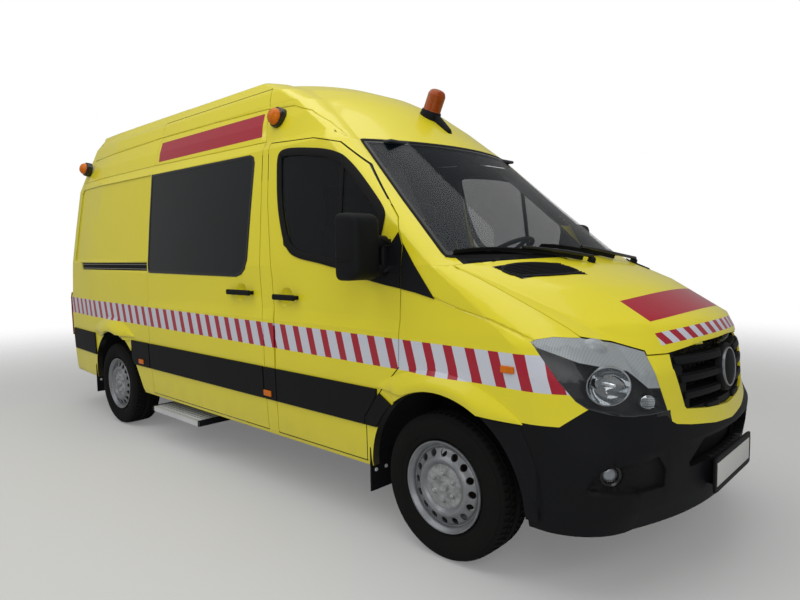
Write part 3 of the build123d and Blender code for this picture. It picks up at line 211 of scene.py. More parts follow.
def inside_mask(add, place, facing):
    """The mask of the faces that a lining covers: those that look inwards, and the frames' dark edges."""
    x, y, z = add("SeparateXYZ", place).node.outputs
    ahead, sideways, _ = add("SeparateXYZ", facing).node.outputs
    away = add("ABSOLUTE", y)
    spine = add("CombineXYZ", {"X": add("Clamp", x, *SPINE_ENDS), "Z": add("Clamp", z, *SPINE_HEIGHTS)})
    outward = add("VectorMath", place, spine, operation="SUBTRACT")
    outward = add("VectorMath", outward, operation="NORMALIZE")
    turned = add("VectorMath", facing, outward, operation="DOT_PRODUCT", out="Value")
    within = add("LESS_THAN", turned, -0.30)
    forwards = add("GREATER_THAN", ahead, 0.5)
    jamb = every(add, forwards, add("LESS_THAN", away, 0.84), add("LESS_THAN", x, AXLE_F - 0.80),
                 add("LESS_THAN", z, 2.0))
    # The front edges of the door frames are seen through the windscreen, and they are dark too
    frame_edge = every(add, forwards, add("COMPARE", sideways, 0.0, 0.04),
                       add("COMPARE", away, 0.725, 0.175), add("COMPARE", z, 1.77, 0.32),
                       add("LESS_THAN", x, AXLE_F - 0.30))
    # In the cab so are the faces that look down and back from behind the windscreen
    slope = add("VectorMath", facing, (0.67, 0.0, 0.74), operation="DOT_PRODUCT", out="Value")
    behind = every(add, add("LESS_THAN", slope, -0.6), add("LESS_THAN", x, AXLE_F + 0.05),
                   add("GREATER_THAN", z, 1.2), add("GREATER_THAN", x, CAB_START))
    return either(add, within, jamb, frame_edge, behind)


def liveried_paint(colours, livery):
    """Two-pack yellow paint under clear lacquer: deep gloss, with the livery's bands and stripes.

    The film is smooth with a faint orange peel, and road dust dulls it near the sills."""
    made, shader, add, place = begin("two_pack_yellow_paint", Coat_Weight=0.3, Coat_Roughness=0.06, IOR=1.5,
                                     Specular_IOR_Level=0.35)
    facing = add("TexCoord", out="Normal")
    x, y, z = add("SeparateXYZ", place).node.outputs
    drift = add("TexNoise", {"Vector": place, "Scale": 1.4, "Detail": 4.0}, out="Fac")
    paint = add("MixRGB", drift, (*colours.paint, 1), (*colours.paint_shade, 1))
    coat = livery_colour(add, place, paint, colours, livery)
    # The lining is pale in the load space and dark in the cab; round the engine it is plain yellow
    lining = add("MixRGB", add("GREATER_THAN", x, CAB_START), linear("B6B9B8"), linear("2C2F32"))
    lining = add("MixRGB", add("GREATER_THAN", x, ENGINE_START), lining, paint)
    coat = add("MixRGB", inside_mask(add, place, facing), coat, lining)
    # The nose panel's foot under the lamps is black like the bumper, and so are the faces over a wheel
    black = every(add, add("GREATER_THAN", x, FOOT_X), add("LESS_THAN", z, FOOT_Z),
                  add("GREATER_THAN", add("ABSOLUTE", y), FOOT_Y))
    for axle in (AXLE_F, AXLE_R):
        hub = add("CombineXYZ", axle, y, WHEEL_Z)
        spoke = add("VectorMath", place, hub, operation="SUBTRACT")
        reach = add("VectorMath", spoke, operation="LENGTH", out="Value")
        inwards = add("VectorMath", spoke, facing, operation="DOT_PRODUCT", out="Value")
        over_wheel = every(add, add("LESS_THAN", reach, WELL_RADIUS), add("LESS_THAN", inwards, -0.14))
        black = either(add, black, over_wheel)
    coat = add("MixRGB", black, coat, linear("0D0E0F"))
    # Dust gathers in soft patches below the rub strips
    low = add("MapRange", {"Value": z, "From Min": DUST_TOP, "From Max": DUST_FULL, "To Max": 0.30})
    cloud = add("TexNoise", {"Vector": place, "Scale": 7.0, "Detail": 6.0}, out="Fac")
    dust = add("MULTIPLY", low, cloud)
    peel = add("TexNoise", {"Vector": place, "Scale": 160.0, "Detail": 1.0}, out="Fac")
    feed(shader, {"Base Color": add("MixRGB", dust, coat, linear("8D8468")),
                  "Roughness": add("MULTIPLY_ADD", dust, 0.9, 0.3),
                  "Normal": add("Bump", {"Height": peel, "Distance": 0.00012, "Strength": 0.5})})
    return made


# The windscreen's clear part: its half width at a height, how that narrows upwards, its foot and its top
CLEAR_HALF, CLEAR_AT, CLEAR_LEAN, CLEAR_FOOT, CLEAR_TOP = 0.871, 1.44, 0.232, 1.470, 2.086


def tinted_glass(name, colour, alpha, frit=False):
    """Tinted float glass: dark, see-through, with a hard reflection; the screen has a fired black edge."""
    made, shader, add, place = begin(name, Roughness=0.03, IOR=1.45, Alpha=alpha, Specular_IOR_Level=0.4)
    film = add("TexNoise", {"Vector": place, "Scale": 2.2, "Detail": 3.0}, out="Fac")
    pane = add("MixRGB", film, linear(colour), linear("10161A"))
    if frit:
        _, y, z = add("SeparateXYZ", place).node.outputs
        edge = add("MULTIPLY_ADD", z, -CLEAR_LEAN, CLEAR_HALF + CLEAR_LEAN * CLEAR_AT)
        border = either(add, add("GREATER_THAN", add("ABSOLUTE", y), edge),
                        add("GREATER_THAN", z, CLEAR_TOP), add("LESS_THAN", z, CLEAR_FOOT))
        feed(shader, {"Alpha": add("MapRange", {"Value": border, "To Min": alpha, "To Max": 1.0})})
        pane = add("MixRGB", border, pane, linear("0B0C0E"))
    feed(shader, {"Base Color": pane})
    return made


# The lower edge of the headlamp's milky strip: distance along the corner of the nose, height
STRIP_EDGE = [(-0.36, 1.084), (-0.163, 1.012), (0.047, 0.969), (0.087, 0.938), (0.144, 0.891), (0.22, 0.885)]
# The heights that the strip's curve spans, and the pitch of its ribs
STRIP_FOOT, STRIP_HEIGHT, RIB_PITCH = 0.80, 0.40, 0.006


def lamp_cover(name):
    """The headlamp's clear cover: smoked see-through, with a milky ribbed strip along its upper edge, whose
    ribs carry painted light and shade.

    Across the corner of the nose the strip's lower edge steps down towards the grille."""
    made, shader, add, place = begin(name, Roughness=0.05, Coat_Weight=0.5, Coat_Roughness=0.03)
    x, y, z = add("SeparateXYZ", place).node.outputs
    ahead = add("SUBTRACT", x, AXLE_F)
    along = add("MULTIPLY", add("SUBTRACT", ahead, add("ABSOLUTE", y)), math.sqrt(0.5))
    start, end = STRIP_EDGE[0][0], STRIP_EDGE[-1][0]
    share = add("MapRange", {"Value": along, "From Min": start, "From Max": end})
    edge = add("FloatCurve", {"Value": share})
    mapping = edge.node.mapping
    points = mapping.curves[0].points
    for index, (distance, height) in enumerate(STRIP_EDGE):
        at = ((distance - start) / (end - start), (height - STRIP_FOOT) / STRIP_HEIGHT)
        if index in (0, len(STRIP_EDGE) - 1):
            point = points[0 if index == 0 else -1]
            point.location = at
        else:
            point = points.new(*at)
        point.handle_type = "VECTOR"
    mapping.update()
    level = add("DIVIDE", add("SUBTRACT", z, STRIP_FOOT), STRIP_HEIGHT)
    strip = add("MapRange", {"Value": add("SUBTRACT", level, edge), "From Min": -0.004, "From Max": 0.006})
    ribbed = add("MULTIPLY", add("SINE", add("MULTIPLY", along, math.tau / RIB_PITCH)), strip)
    # The ribs' colour swings from dark to light grey with their phase: painted shade and painted highlight
    # on each rib, beside their bump
    shade = add("MapRange", {"Value": ribbed, "From Min": -1.0, "From Max": 1.0})
    milky_with_painted_rib_shade = add("MixRGB", shade, linear("8E969A"), linear("C4CACD"))
    feed(shader, {"Base Color": add("MixRGB", strip, linear("24282B"), milky_with_painted_rib_shade),
                  "Alpha": add("MapRange", {"Value": strip, "To Min": 0.16, "To Max": 0.72}),
                  "Normal": add("Bump", {"Height": ribbed, "Distance": 0.0006, "Strength": 0.5})})
    return made


FINISHES = {}


def make_finishes(colours, livery):
    """Every material of the van, by a maker's plain name."""
    FINISHES.update({
        "yellow_paint": liveried_paint(colours, livery),
        # Moulded with a leather-like grain: dull, slightly grey where light skims it
        "black_plastic": grained("textured_polypropylene", "0E0F10", "15161A", 0.6, 0.0022, 0.0004,
                                 Specular_IOR_Level=0.14),
        # Moulded in a polished tool: sharp highlights on near black
        "gloss_black": grained("gloss_black_plastic", "08090A", "0E0F11", 0.16, 0.02, 0.00002, spread=0.03),
        # Extruded: matt and even
        "rubber": grained("extruded_rubber", "08080A", "101011", 0.72, 0.003, 0.0001,
                          Specular_IOR_Level=0.2),
        # Float glass tinted in the melt: nearly opaque at the sides, clearer in the cab
        "dark_glass": tinted_glass("privacy_glass", "08090B", 0.985),
        "clear_glass": tinted_glass("laminated_windscreen", "16232C", 0.34, frit=True),
        "door_glass": tinted_glass("tinted_door_glass", "0C1214", 0.50),
        # Vulcanised rubber, matt and slightly brown with road dust
        "tyre_rubber": grained("road_worn_tyre_rubber", "0F0F10", "1A1917", 0.85, 0.004, 0.0002, patch=0.12,
                               Specular_IOR_Level=0.12),
        # Sprayed enamel with metal flakes: a soft silver sheen
        "steel_rim": grained("silver_wheel_enamel", "979A9D", "6E7074", 0.38, 0.01, 0.00004, patch=0.06,
                             Metallic=0.55),
        # Moulded and scuffed through in small dark patches, drawn coarser than they are so that they show
        "hub_cover": grained("scuffed_hub_cover", "D2D4D6", "050506", 0.5, 0.004, 0.0003, patch=0.03,
                             Metallic=0.3),
        # Dipped enamel with road dirt on it, and cast iron with its sandy skin
        "chassis_black": grained("chassis_black_enamel", "111213", "26231F", 0.6, 0.006, 0.0002),
        "cast_steel": grained("cast_iron", "4A4642", "5E5449", 0.66, 0.004, 0.0005, Metallic=0.6),
        # Dyed acrylic lenses, pebbled inside to break up the light; the beacon's is deeper in colour
        "amber_lens": grained("amber_acrylic_lens", "E88208", "BE5203", 0.24, 0.004, 0.0003, patch=0.03,
                              Specular_IOR_Level=0.25),
        "deep_amber": grained("beacon_acrylic_dome", "B4510A", "7C2C03", 0.2, 0.004, 0.0003, patch=0.03,
                              Specular_IOR_Level=0.3),
        "red_lens": grained("red_acrylic_lens", "8E0D10", "6A080B", 0.14, 0.005, 0.0002, Coat_Weight=0.5),
        # Clear mouldings: smooth ones, and ribbed ones that look frosted
        "lamp_lens": grained("polycarbonate_lens", "D9DEE0", "BFC6CA", 0.12, 0.01, 0.00003, Alpha=0.25),
        "lens_clear": lamp_cover("clear_polycarbonate"),
        "lens_frosted": grained("ribbed_clear_lens", "B9BFC2", "8F969A", 0.16, 0.005, 0.0006, patch=0.01,
                                Alpha=0.85),
        # Dull grey moulding, satin-painted cap, and plated or vapour-coated parts that mirror what is near
        "lamp_housing": grained("dark_grey_lamp_housing", "34373A", "45494C", 0.4, 0.02, 0.00005),
        "lamp_grey": grained("satin_grey_bulb_cap", "8A8E92", "A2A6AA", 0.3, 0.01, 0.00005, Metallic=0.7),
        "chrome": grained("bright_chrome_plate", "C9CDD0", "B5BABD", 0.07, 0.05, 0.00001, spread=0.03,
                          Metallic=1.0),
        "bright_chrome": grained("polished_chrome", "E8ECEE", "D8DDE0", 0.12, 0.05, 0.00001, spread=0.02,
                                 Metallic=0.85),
        "mirror": grained("silvered_mirror_glass", "C4CACC", "BFC5C8", 0.03, 0.05, 0.00001, spread=0.01,
                          Metallic=1.0),
        # Extruded and left bare: pale, with fine draw lines that only dull it
        "bare_aluminium": grained("extruded_aluminium", "DADCDD", "BEC0C2", 0.42, 0.0015, 0.00008,
                                  Metallic=0.15),
        # Moulded with a soft leather grain
        "grey_plastic": grained("grained_grey_dashboard_plastic", "2B2D30", "35373A", 0.62, 0.0025, 0.0003),
        # Woven polyester: the weave roughens it and its loose fibres catch light at the edges
        "seat_fabric": grained("woven_seat_fabric", "1C1D21", "2A2B30", 0.88, 0.002, 0.0005,
                               Sheen_Weight=0.3),
        # Pressed laminate and melamine faces: even, slightly shiny
        "partition_board": grained("grey_laminate_partition", "4A4D50", "404346", 0.55, 0.004, 0.0001),
        "white_board": grained("white_melamine_board", "D5D6D2", "C8C9C4", 0.4, 0.01, 0.00005),
        # Rolled vinyl with small specks
        "floor_lining": grained("speckled_vinyl_floor", "50545A", "3F4348", 0.6, 0.003, 0.0002, patch=0.01),
    })


def spot(x, y, z):
    """A point given by its distance ahead of the front axle, its side and its height."""
    return Vector((AXLE_F + x, y, z))


def only(*things):
    """Select these objects alone; the last one is active."""
    bpy.ops.object.select_all(action="DESELECT")
    for thing in things:
        thing.select_set(True)
    bpy.context.view_layer.objects.active = things[-1]


def settle(thing):
    """Take the object's place, turn and scale into its mesh."""
    only(thing)
    bpy.ops.object.transform_apply(location=True, rotation=True, scale=True)
    return thing


def modify(thing, kind, **settings):
    """Add a modifier with its settings and apply it."""
    only(thing)
    added = thing.modifiers.new(kind.lower(), kind)
    for name, value in settings.items():
        setattr(added, name, value)
    bpy.ops.object.modifier_apply(modifier=added.name)
    return thing


def bevelled(thing, width, angle=50):
    """Round the edges that turn by more than an angle."""
    return modify(thing, "BEVEL", width=width, segments=2, limit_method="ANGLE",
                  angle_limit=math.radians(angle))


@contextmanager
def editing(thing, kind="FACE"):
    """Edit mode on one object, with everything selected; gives its mesh."""
    only(thing)
    bpy.ops.object.mode_set(mode="EDIT")
    bpy.ops.mesh.select_mode(type=kind)
    bpy.ops.mesh.select_all(action="SELECT")
    yield bmesh.from_edit_mesh(thing.data)
    bpy.ops.object.mode_set(mode="OBJECT")


def pick(thing, test):
    """In edit mode, select only the faces that pass a test."""
    bpy.ops.mesh.select_all(action="DESELECT")
    mesh = bmesh.from_edit_mesh(thing.data)
    for face in mesh.faces:
        if test(face):
            face.select_set(True)
    bmesh.update_edit_mesh(thing.data)


def face_outwards(weld=0.0):
    """In edit mode, merge corners closer than the weld and turn every face's front outwards."""
    bpy.ops.mesh.select_all(action="SELECT")
    if weld:
        bpy.ops.mesh.remove_doubles(threshold=weld)
    bpy.ops.mesh.normals_make_consistent(inside=False)


def fresh(name, points, edges=(), faces=()):
    """An object from listed corners, to be shaped further in edit mode."""
    mesh = bpy.data.meshes.new(name)
    mesh.from_pydata([tuple(point) for point in points], list(edges), list(faces))
    made = bpy.data.objects.new(name, mesh)
    bpy.context.collection.objects.link(made)
    return made


def block(name, low, high, bevel, segments=2):
    """A box between two corners with rounded edges."""
    low, high = Vector(low), Vector(high)
    bpy.ops.mesh.primitive_cube_add(size=1, location=(low + high) / 2)
    made = bpy.context.object
    made.name = name
    made.scale = high - low
    settle(made)
    with editing(made, "EDGE"):
        bpy.ops.mesh.bevel(offset=bevel, segments=segments, affect="EDGES")
    return made


def turns(count, shift=0.0):
    """Angles spread evenly over a full turn."""
    return [math.tau * (index + shift) / count for index in range(count)]


def lathe(name, profile, centre, axis, steps, closed=False):
    """A (radius, offset) line spun about an axis through the centre."""
    axis = Vector(axis).normalized()
    out = axis.orthogonal().normalized()
    centre = Vector(centre)
    points = [centre + out * radius + axis * offset for radius, offset in profile]
    edges = [(index, index + 1) for index in range(len(points) - 1)]
    if closed:
        edges.append((len(points) - 1, 0))
    made = fresh(name, points, edges)
    with editing(made, "VERT"):
        bpy.ops.mesh.spin(steps=steps, angle=math.tau, center=tuple(centre), axis=tuple(axis))
        face_outwards(0.00001)
    return made


def tube(name, points, radius, closed=False, sides=3):
    """A rod of round section bent through the points."""
    line = bpy.data.curves.new(name, "CURVE")
    line.dimensions = "3D"
    run = line.splines.new("POLY")
    run.points.add(len(points) - 1)
    for place, point in zip(run.points, points):
        place.co = (*point, 1.0)
    run.use_cyclic_u = closed
    line.bevel_depth = radius
    line.bevel_resolution = sides
    line.use_fill_caps = not closed
    made = bpy.data.objects.new(name, line)
    bpy.context.collection.objects.link(made)
    only(made)
    bpy.ops.object.convert(target="MESH")
    return bpy.context.object


def spans_of(points, closed):
    """The spans of a line, each as its two ends."""
    return list(zip(points, points[1:] + points[:1] if closed else points[1:]))


def softened(points, closed=True):
    """The line with its corners cut back twice, which makes them rounder."""
    points = [Vector(point) for point in points]
    for _ in range(2):
        cut = [corner for a, b in spans_of(points, closed) for corner in (a.lerp(b, 0.25), a.lerp(b, 0.75))]
        points = cut if closed else [points[0]] + cut[1:-1] + [points[-1]]
    return points


def stepped(points, pitch, closed):
    """The line with extra points, so that no span is longer than the pitch."""
    out = []
    for a, b in spans_of(points, closed):
        count = max(1, math.ceil((b - a).length / pitch))
        out += [a.lerp(b, index / count) for index in range(count)]
    return out if closed else out + [points[-1]]


def joined(name, *things):
    """Several objects as one."""
    only(*things)
    bpy.ops.object.join()
    made = bpy.context.object
    made.name = name
    return made


def twin(thing, name):
    """A copy of an object with its own mesh."""
    made = bpy.data.objects.new(name, thing.data.copy())
    bpy.context.collection.objects.link(made)
    return made


def mirrored(thing, name):
    """A copy of an object on the other side of the van."""
    made = twin(thing, name)
    only(made)
    bpy.ops.transform.mirror(constraint_axis=(False, True, False), orient_type="GLOBAL",
                             center_override=(0, 0, 0))
    settle(made)
    with editing(made):
        face_outwards()
    return made


def drop(thing):
    """Take a throw-away object out again."""
    bpy.data.objects.remove(thing, do_unlink=True)


@contextmanager
def skin_of(*names):
    """A throw-away surface of some CAD nodes, for other pieces to be laid upon."""
    skin = joined("skin", *[twin(NODES[name], "skin_" + name) for name in names])
    yield skin
    drop(skin)


# The ways a piece can be laid on the body: how its flat points stand, and where it travels
LAYING = {
    "right": (lambda a, b: (a, -1.5, b), 1, 1),
    "left": (lambda a, b: (a, 1.5, b), 1, -1),
    "front": (lambda a, b: (3.4, a, b), 0, -1),
    "rear": (lambda a, b: (-3.4, a, b), 0, 1),
    "top": (lambda a, b: (a, b, 3.2), 2, -1),
}


def mend(thing, axis, start):
    """Give corners that fell past the body, or through a seam, the depth of the corners beside them."""
    seam_drop = 0.03
    with editing(thing, "VERT") as mesh:
        depth = {corner: corner.co[axis] for corner in mesh.verts}
        settled = {corner for corner in mesh.verts if abs(depth[corner] - start) > 1e-6}
        for corner in list(settled):
            beside = sorted(depth[edge.other_vert(corner)] for edge in corner.link_edges
                            if edge.other_vert(corner) in settled)
            if beside and min(abs(depth[corner] - other) for other in beside) > seam_drop:
                settled.discard(corner)
        if len(settled) < len(mesh.verts) / 3:
            raise RuntimeError(f"{thing.name} isn't over the body")
        waiting = [corner for corner in mesh.verts if corner not in settled]
        while waiting:
            found = {}
            for corner in waiting:
                beside = [other.co[axis] for edge in corner.link_edges
                          for other in [edge.other_vert(corner)] if other in settled]
                if beside:
                    found[corner] = sum(beside) / len(beside)
            if not found:
                raise RuntimeError(f"{thing.name} has corners with nothing under them")
            for corner, level in found.items():
                corner.co[axis] = level
            settled.update(found)
            waiting = [corner for corner in waiting if corner not in found]
        bmesh.update_edit_mesh(thing.data)


def lay(thing, skin, way, proud, sunk=0.002, edge=0.0015):
    """Lower a flat sheet on to the body, give it a thickness and round its edges."""
    stand, axis, direction = LAYING[way]
    settings = {"use_project_" + "xyz"[axis]: True, "use_positive_direction": direction > 0,
                "use_negative_direction": direction < 0}
    modify(thing, "SHRINKWRAP", target=skin, wrap_method="PROJECT", **settings)
    mend(thing, axis, stand(0.0, 0.0)[axis])
    with editing(thing) as mesh:
        face_outwards()
        outward = sum((face.normal[axis] * face.calc_area() for face in mesh.faces))
        if outward * direction > 0:
            bpy.ops.mesh.flip_normals()
    modify(thing, "SOLIDIFY", thickness=proud + sunk, offset=(proud - sunk) / (proud + sunk))
    return bevelled(thing, edge) if edge else thing


def band(name, line, width, way, closed=True, pitch=0.03):
    """A flat strip of one width along a line, standing off the body, ready to be laid on it."""
    stand = LAYING[way][0]
    line = stepped([Vector(point).to_2d().to_3d() for point in line], pitch, closed)
    count = len(line)
    points = []
    for index, point in enumerate(line):
        before = line[index - 1] if closed or index else point
        after = line[(index + 1) % count] if closed or index < count - 1 else point
        across = (after - before).cross(Vector((0, 0, 1))).normalized() * width / 2
        points += [stand(*(point + across).to_2d()), stand(*(point - across).to_2d())]
    last = count if closed else count - 1
    faces = [(2 * i, 2 * i + 1, (2 * i + 3) % (2 * count), (2 * i + 2) % (2 * count)) for i in range(last)]
    return fresh(name, points, faces=faces)


def draped(points, skin, gap):
    """The points let down on to a surface from above, then lifted off it by a gap."""
    bpy.context.view_layer.update()
    stand = LAYING["top"][0]
    ray = Vector((0, 0, -1))
    found = []
    for point in points:
        struck, place, normal, _ = skin.ray_cast(Vector(stand(*Vector(point).to_2d())), ray)
        if not struck:
            raise RuntimeError(f"nothing under {tuple(point)}")
        found.append(place + (normal if normal.dot(ray) < 0 else -normal) * gap)
    return found


def rounded(points, radius, steps=5):
    """A closed line whose corners turn on a small radius."""
    points = [Vector(point).to_3d() for point in points]
    out = []
    for index, point in enumerate(points):
        before = points[index - 1] - point
        after = points[(index + 1) % len(points)] - point
        start = point + before.normalized() * min(radius, before.length / 2)
        end = point + after.normalized() * min(radius, after.length / 2)
        for step in range(steps + 1):
            share = step / steps
            out.append(start.lerp(point, share).lerp(point.lerp(end, share), share))
    return out


def pulled_in(line, inset):
    """A closed line moved towards its own inside by the inset."""
    count = len(line)
    turning = sum((line[i] - line[i - 1]).cross(line[(i + 1) % count] - line[i]).z for i in range(count))
    inset *= 1 if turning > 0 else -1
    out = []
    for index, point in enumerate(line):
        run = (line[(index + 1) % count] - line[index - 1]).normalized()
        out.append(point + Vector((-run.y, run.x, 0)) * inset)
    return out


def rim_of(name, way):
    """The outer rim of a pane of glass as seen from one side, in order, taken from its own corners."""
    axis = LAYING[way][1]
    a, b = [index for index in range(3) if index != axis]
    sign = {"right": -1, "left": 1, "rear": 1}[way]
    places = [corner.co for corner in NODES[name].data.vertices if axis != 1 or corner.co.y * sign > 0]
    hull = geometry.convex_hull_2d([(place[a], place[b]) for place in places])
    return [Vector((places[index][a], places[index][b], 0)) for index in hull]


def sheet(name, points, rows, columns):
    """An object of four-sided faces from rows of points."""
    faces = [(i * (columns + 1) + j, i * (columns + 1) + j + 1, (i + 1) * (columns + 1) + j + 1,
              (i + 1) * (columns + 1) + j) for i in range(rows) for j in range(columns)]
    return fresh(name, points, faces=faces)


def oblong(left, right, low, high):
    """The corners of an upright rectangle, from its lower left."""
    return [(left, low), (right, low), (right, high), (left, high)]


def quilt(name, corners, way, cuts):
    """A flat four-cornered sheet in small squares, standing off the body."""
    stand = LAYING[way][0]
    a, b, c, d = [Vector(corner).to_3d() for corner in corners]
    rows, columns = cuts
    points = [stand(*a.lerp(b, j / columns).lerp(d.lerp(c, j / columns), i / rows).to_2d())
              for i in range(rows + 1) for j in range(columns + 1)]
    return sheet(name, points, rows, columns)


# The radius of the wheel arch's mouth
ARCH_RADIUS = 0.466


def eyebrow(name, axle, side, ends, levels, rise, bulge, skin):
    """The raised lip of a wheel arch: a crescent over the opening that swells outwards and dies away.

    ends are its tips ahead of the axle, levels the heights of its foot at those tips."""
    rows, columns = 8, 36
    points, swell = [], []
    for i in range(rows + 1):
        for j in range(columns + 1):
            share = j / columns
            along = ends[0] + (ends[1] - ends[0]) * share
            level = levels[0] + (levels[1] - levels[0]) * share
            mouth = WHEEL_Z + math.sqrt(max(0.0, ARCH_RADIUS ** 2 - along ** 2))
            foot = max(level, mouth if abs(along) < ARCH_RADIUS else level)
            crest = max(foot + 0.004, level + rise * math.sin(math.pi * share) ** 0.75)
            points.append(LAYING[side][0](axle + along, foot + (crest - foot) * i / rows))
            lift = math.sin(math.pi * (0.30 + 0.70 * i / rows)) ** 1.2
            swell.append(bulge * lift * math.sin(math.pi * share) ** 0.6)
    made = lay(sheet(name, points, rows, columns), skin, side, 0.0035, 0.003, 0.0)
    corners = made.data.vertices
    way = 1 if side == "left" else -1
    for index, out in enumerate(swell):
        outer = max((index, index + len(points)), key=lambda k: abs(corners[k].co.y))
        corners[outer].co.y += way * out
    return made


def housing(name, ring, sections):
    """A closed shell: one outline carried forward through sections of (step ahead, share of its size)."""
    middle = sum(ring, Vector()) / len(ring)
    count = len(ring)
    points = [middle + (corner - middle) * share + Vector((step, 0, 0))
              for step, share in sections for corner in ring]
    faces = [(row * count + i, row * count + (i + 1) % count, (row + 1) * count + (i + 1) % count,
              (row + 1) * count + i) for row in range(len(sections) - 1) for i in range(count)]
    for row in (0, len(sections) - 1):
        faces.append([row * count + i for i in range(count)])
    made = fresh(name, points, faces=faces)
    with editing(made):
        face_outwards()
    return made


def bow_sheet(thing, curve):
    """Set a sheet across the nose back towards its ends, by the square of the distance."""
    for corner in thing.data.vertices:
        corner.co.x -= curve * corner.co.y ** 2


def squeeze(thing, middle, share):
    """Make a piece lower about a height, so that what was round becomes oval."""
    with editing(thing):
        bpy.ops.transform.resize(value=(1, 1, share), center_override=(0, 0, middle))


def crown(thing, low, high):
    """Round a cushion: more faces, then the middle of each side stays out while the corners go in."""
    with editing(thing):
        bpy.ops.mesh.subdivide(number_cuts=5)
    middle = (low + high) / 2
    half = (high - low) / 2
    for corner in thing.data.vertices:
        away = corner.co - middle
        share = [away[i] / half[i] for i in range(3)]
        for i in range(3):
            others = sum(share[j] ** 2 for j in range(3) if j != i)
            corner.co[i] = middle[i] + away[i] * (1 - 0.045 * others)
    modify(thing, "SMOOTH", factor=0.5, iterations=3)
    modify(thing, "SUBSURF", levels=1, render_levels=1)


def piping(name, low, high, is_base):
    """A welt cord round the upper edge of a cushion's face, or round the front of a back's."""
    inset = 0.030
    if is_base:
        corners = [(low.x + inset, low.y + 0.006), (high.x - inset, low.y + 0.006),
                   (high.x - 0.006, low.y + inset), (high.x - 0.006, high.y - inset),
                   (high.x - inset, high.y - 0.006), (low.x + inset, high.y - 0.006)]
        line = [Vector((x, y, high.z - 0.026)) for x, y in corners]
    else:
        corners = [(low.y + 0.007, low.z + inset), (low.y + 0.007, high.z - inset),
                   (low.y + inset, high.z - 0.010), (high.y - inset, high.z - 0.010),
                   (high.y - 0.007, high.z - inset), (high.y - 0.007, low.z + inset)]
        line = [Vector((high.x - 0.024, y, z)) for y, z in corners]
    return tube(name, softened(line), 0.0035, closed=True, sides=2)


def done(thing, finish, body="body", stands_for=(), angle=32):
    """Give a piece its finish and smooth curves, and let it ride on a body of the van."""
    settle(thing)
    thing.data.materials.clear()
    thing.data.materials.append(FINISHES[finish])
    bpy.ops.object.shade_smooth_by_angle(angle=math.radians(angle))
    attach(thing, body)
    if stands_for:
        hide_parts(*stands_for)
    return thing


def both(thing, finish, body="body", stands_for=()):
    """Finish a right-hand piece and its twin on the left."""
    other = mirrored(thing, thing.name.replace("right", "left"))
    done(thing, finish, body, stands_for)
    done(other, finish, body)


def seal(name, line, width, way, skin, thick, finish, body="body", sunk=0.002, closed=True):
    """A strip laid on the body along a line."""
    done(lay(band(name, line, width, way, closed), skin, way, thick, sunk), finish, body)


def pad(name, corners, way, cuts, skin, thick, edge, finish, body="body"):
    """A small thick patch laid on the body."""
    done(lay(quilt(name, corners, way, cuts), skin, way, thick, 0.002, edge), finish, body)


def dressed(name, finish=None):
    """A smooth copy of a CAD node that stands for it."""
    made = twin(NODES[name], name + "_skin")
    with editing(made, "VERT"):
        face_outwards(0.00002)
    done(made, finish or SLOT_OF[name], BODY_OF[name], (name,), 30)
    modify(made, "WEIGHTED_NORMAL", weight=60, keep_sharp=True)
    return made


# The corner of the nose is seen squarely from between ahead and the right
CORNER_OUT = Vector((1, -1, 0)).normalized()


def corner_piece(name, source, test):
    """A thin copy of the faces of a CAD node on the right-hand side that pass a test."""
    made = twin(NODES[source], name)
    with editing(made):
        bpy.ops.mesh.remove_doubles(threshold=0.00002)
        pick(made, lambda face: face.calc_center_median().y > 0 or not test(face))
        bpy.ops.mesh.delete(type="FACE")
    return made


class LiverySettings(PropertyGroup):
    """Where the coloured bands lie on the paint."""
    band_top: FloatProperty(name="Band top", description="Height of the side band's top at the front axle",
                            default=1.043, unit="LENGTH")
    band_fall: FloatProperty(name="Band fall", description="How much the band drops for each metre forward",
                             default=0.0075, subtype="FACTOR")
    band_height: FloatProperty(name="Band height", description="Height of the side band", default=0.15,
                               unit="LENGTH")
    bar_slant: FloatProperty(name="Bar slant", description="How far a red bar leans per metre of height",
                             default=0.29, subtype="FACTOR")
    bar_pitch: FloatProperty(name="Bar pitch", description="Distance from one red bar to the next",
                             default=0.125, unit="LENGTH")
    bar_share: FloatProperty(name="Bar share", description="The part of the pitch that is red", default=0.42,
                             subtype="FACTOR")
    nose_band_z: FloatProperty(name="Bonnet band height", description="Height of the band's middle",
                               default=1.085, unit="LENGTH")
    nose_band_height: FloatProperty(name="Bonnet band width", description="Height of the bonnet band",
                                    default=0.05, unit="LENGTH")
    nose_pitch: FloatProperty(name="Bonnet bar pitch", description="Distance between the bonnet band's bars",
                              default=0.078, unit="LENGTH")
    header_z: FloatProperty(name="Header height", description="Middle of the plain red stripe on the header",
                            default=2.30, unit="LENGTH")
    header_height: FloatProperty(name="Header width", description="Height of the plain red stripe",
                                 default=0.165, unit="LENGTH")


class ColourSettings(PropertyGroup):
    """The colours of the livery."""
    paint: FloatVectorProperty(name="Paint", description="The body's yellow", subtype="COLOR",
                               default=linear("EDE02C")[:3])
    paint_shade: FloatVectorProperty(name="Paint shade", description="The yellow where the film is thinner",
                                     subtype="COLOR", default=linear("E4D626")[:3])
    band: FloatVectorProperty(name="Band", description="The reflective band's silver white", subtype="COLOR",
                              default=linear("CDD0DA")[:3])
    bar: FloatVectorProperty(name="Bar", description="The red of the bars", subtype="COLOR",
                             default=linear("A8152C")[:3])


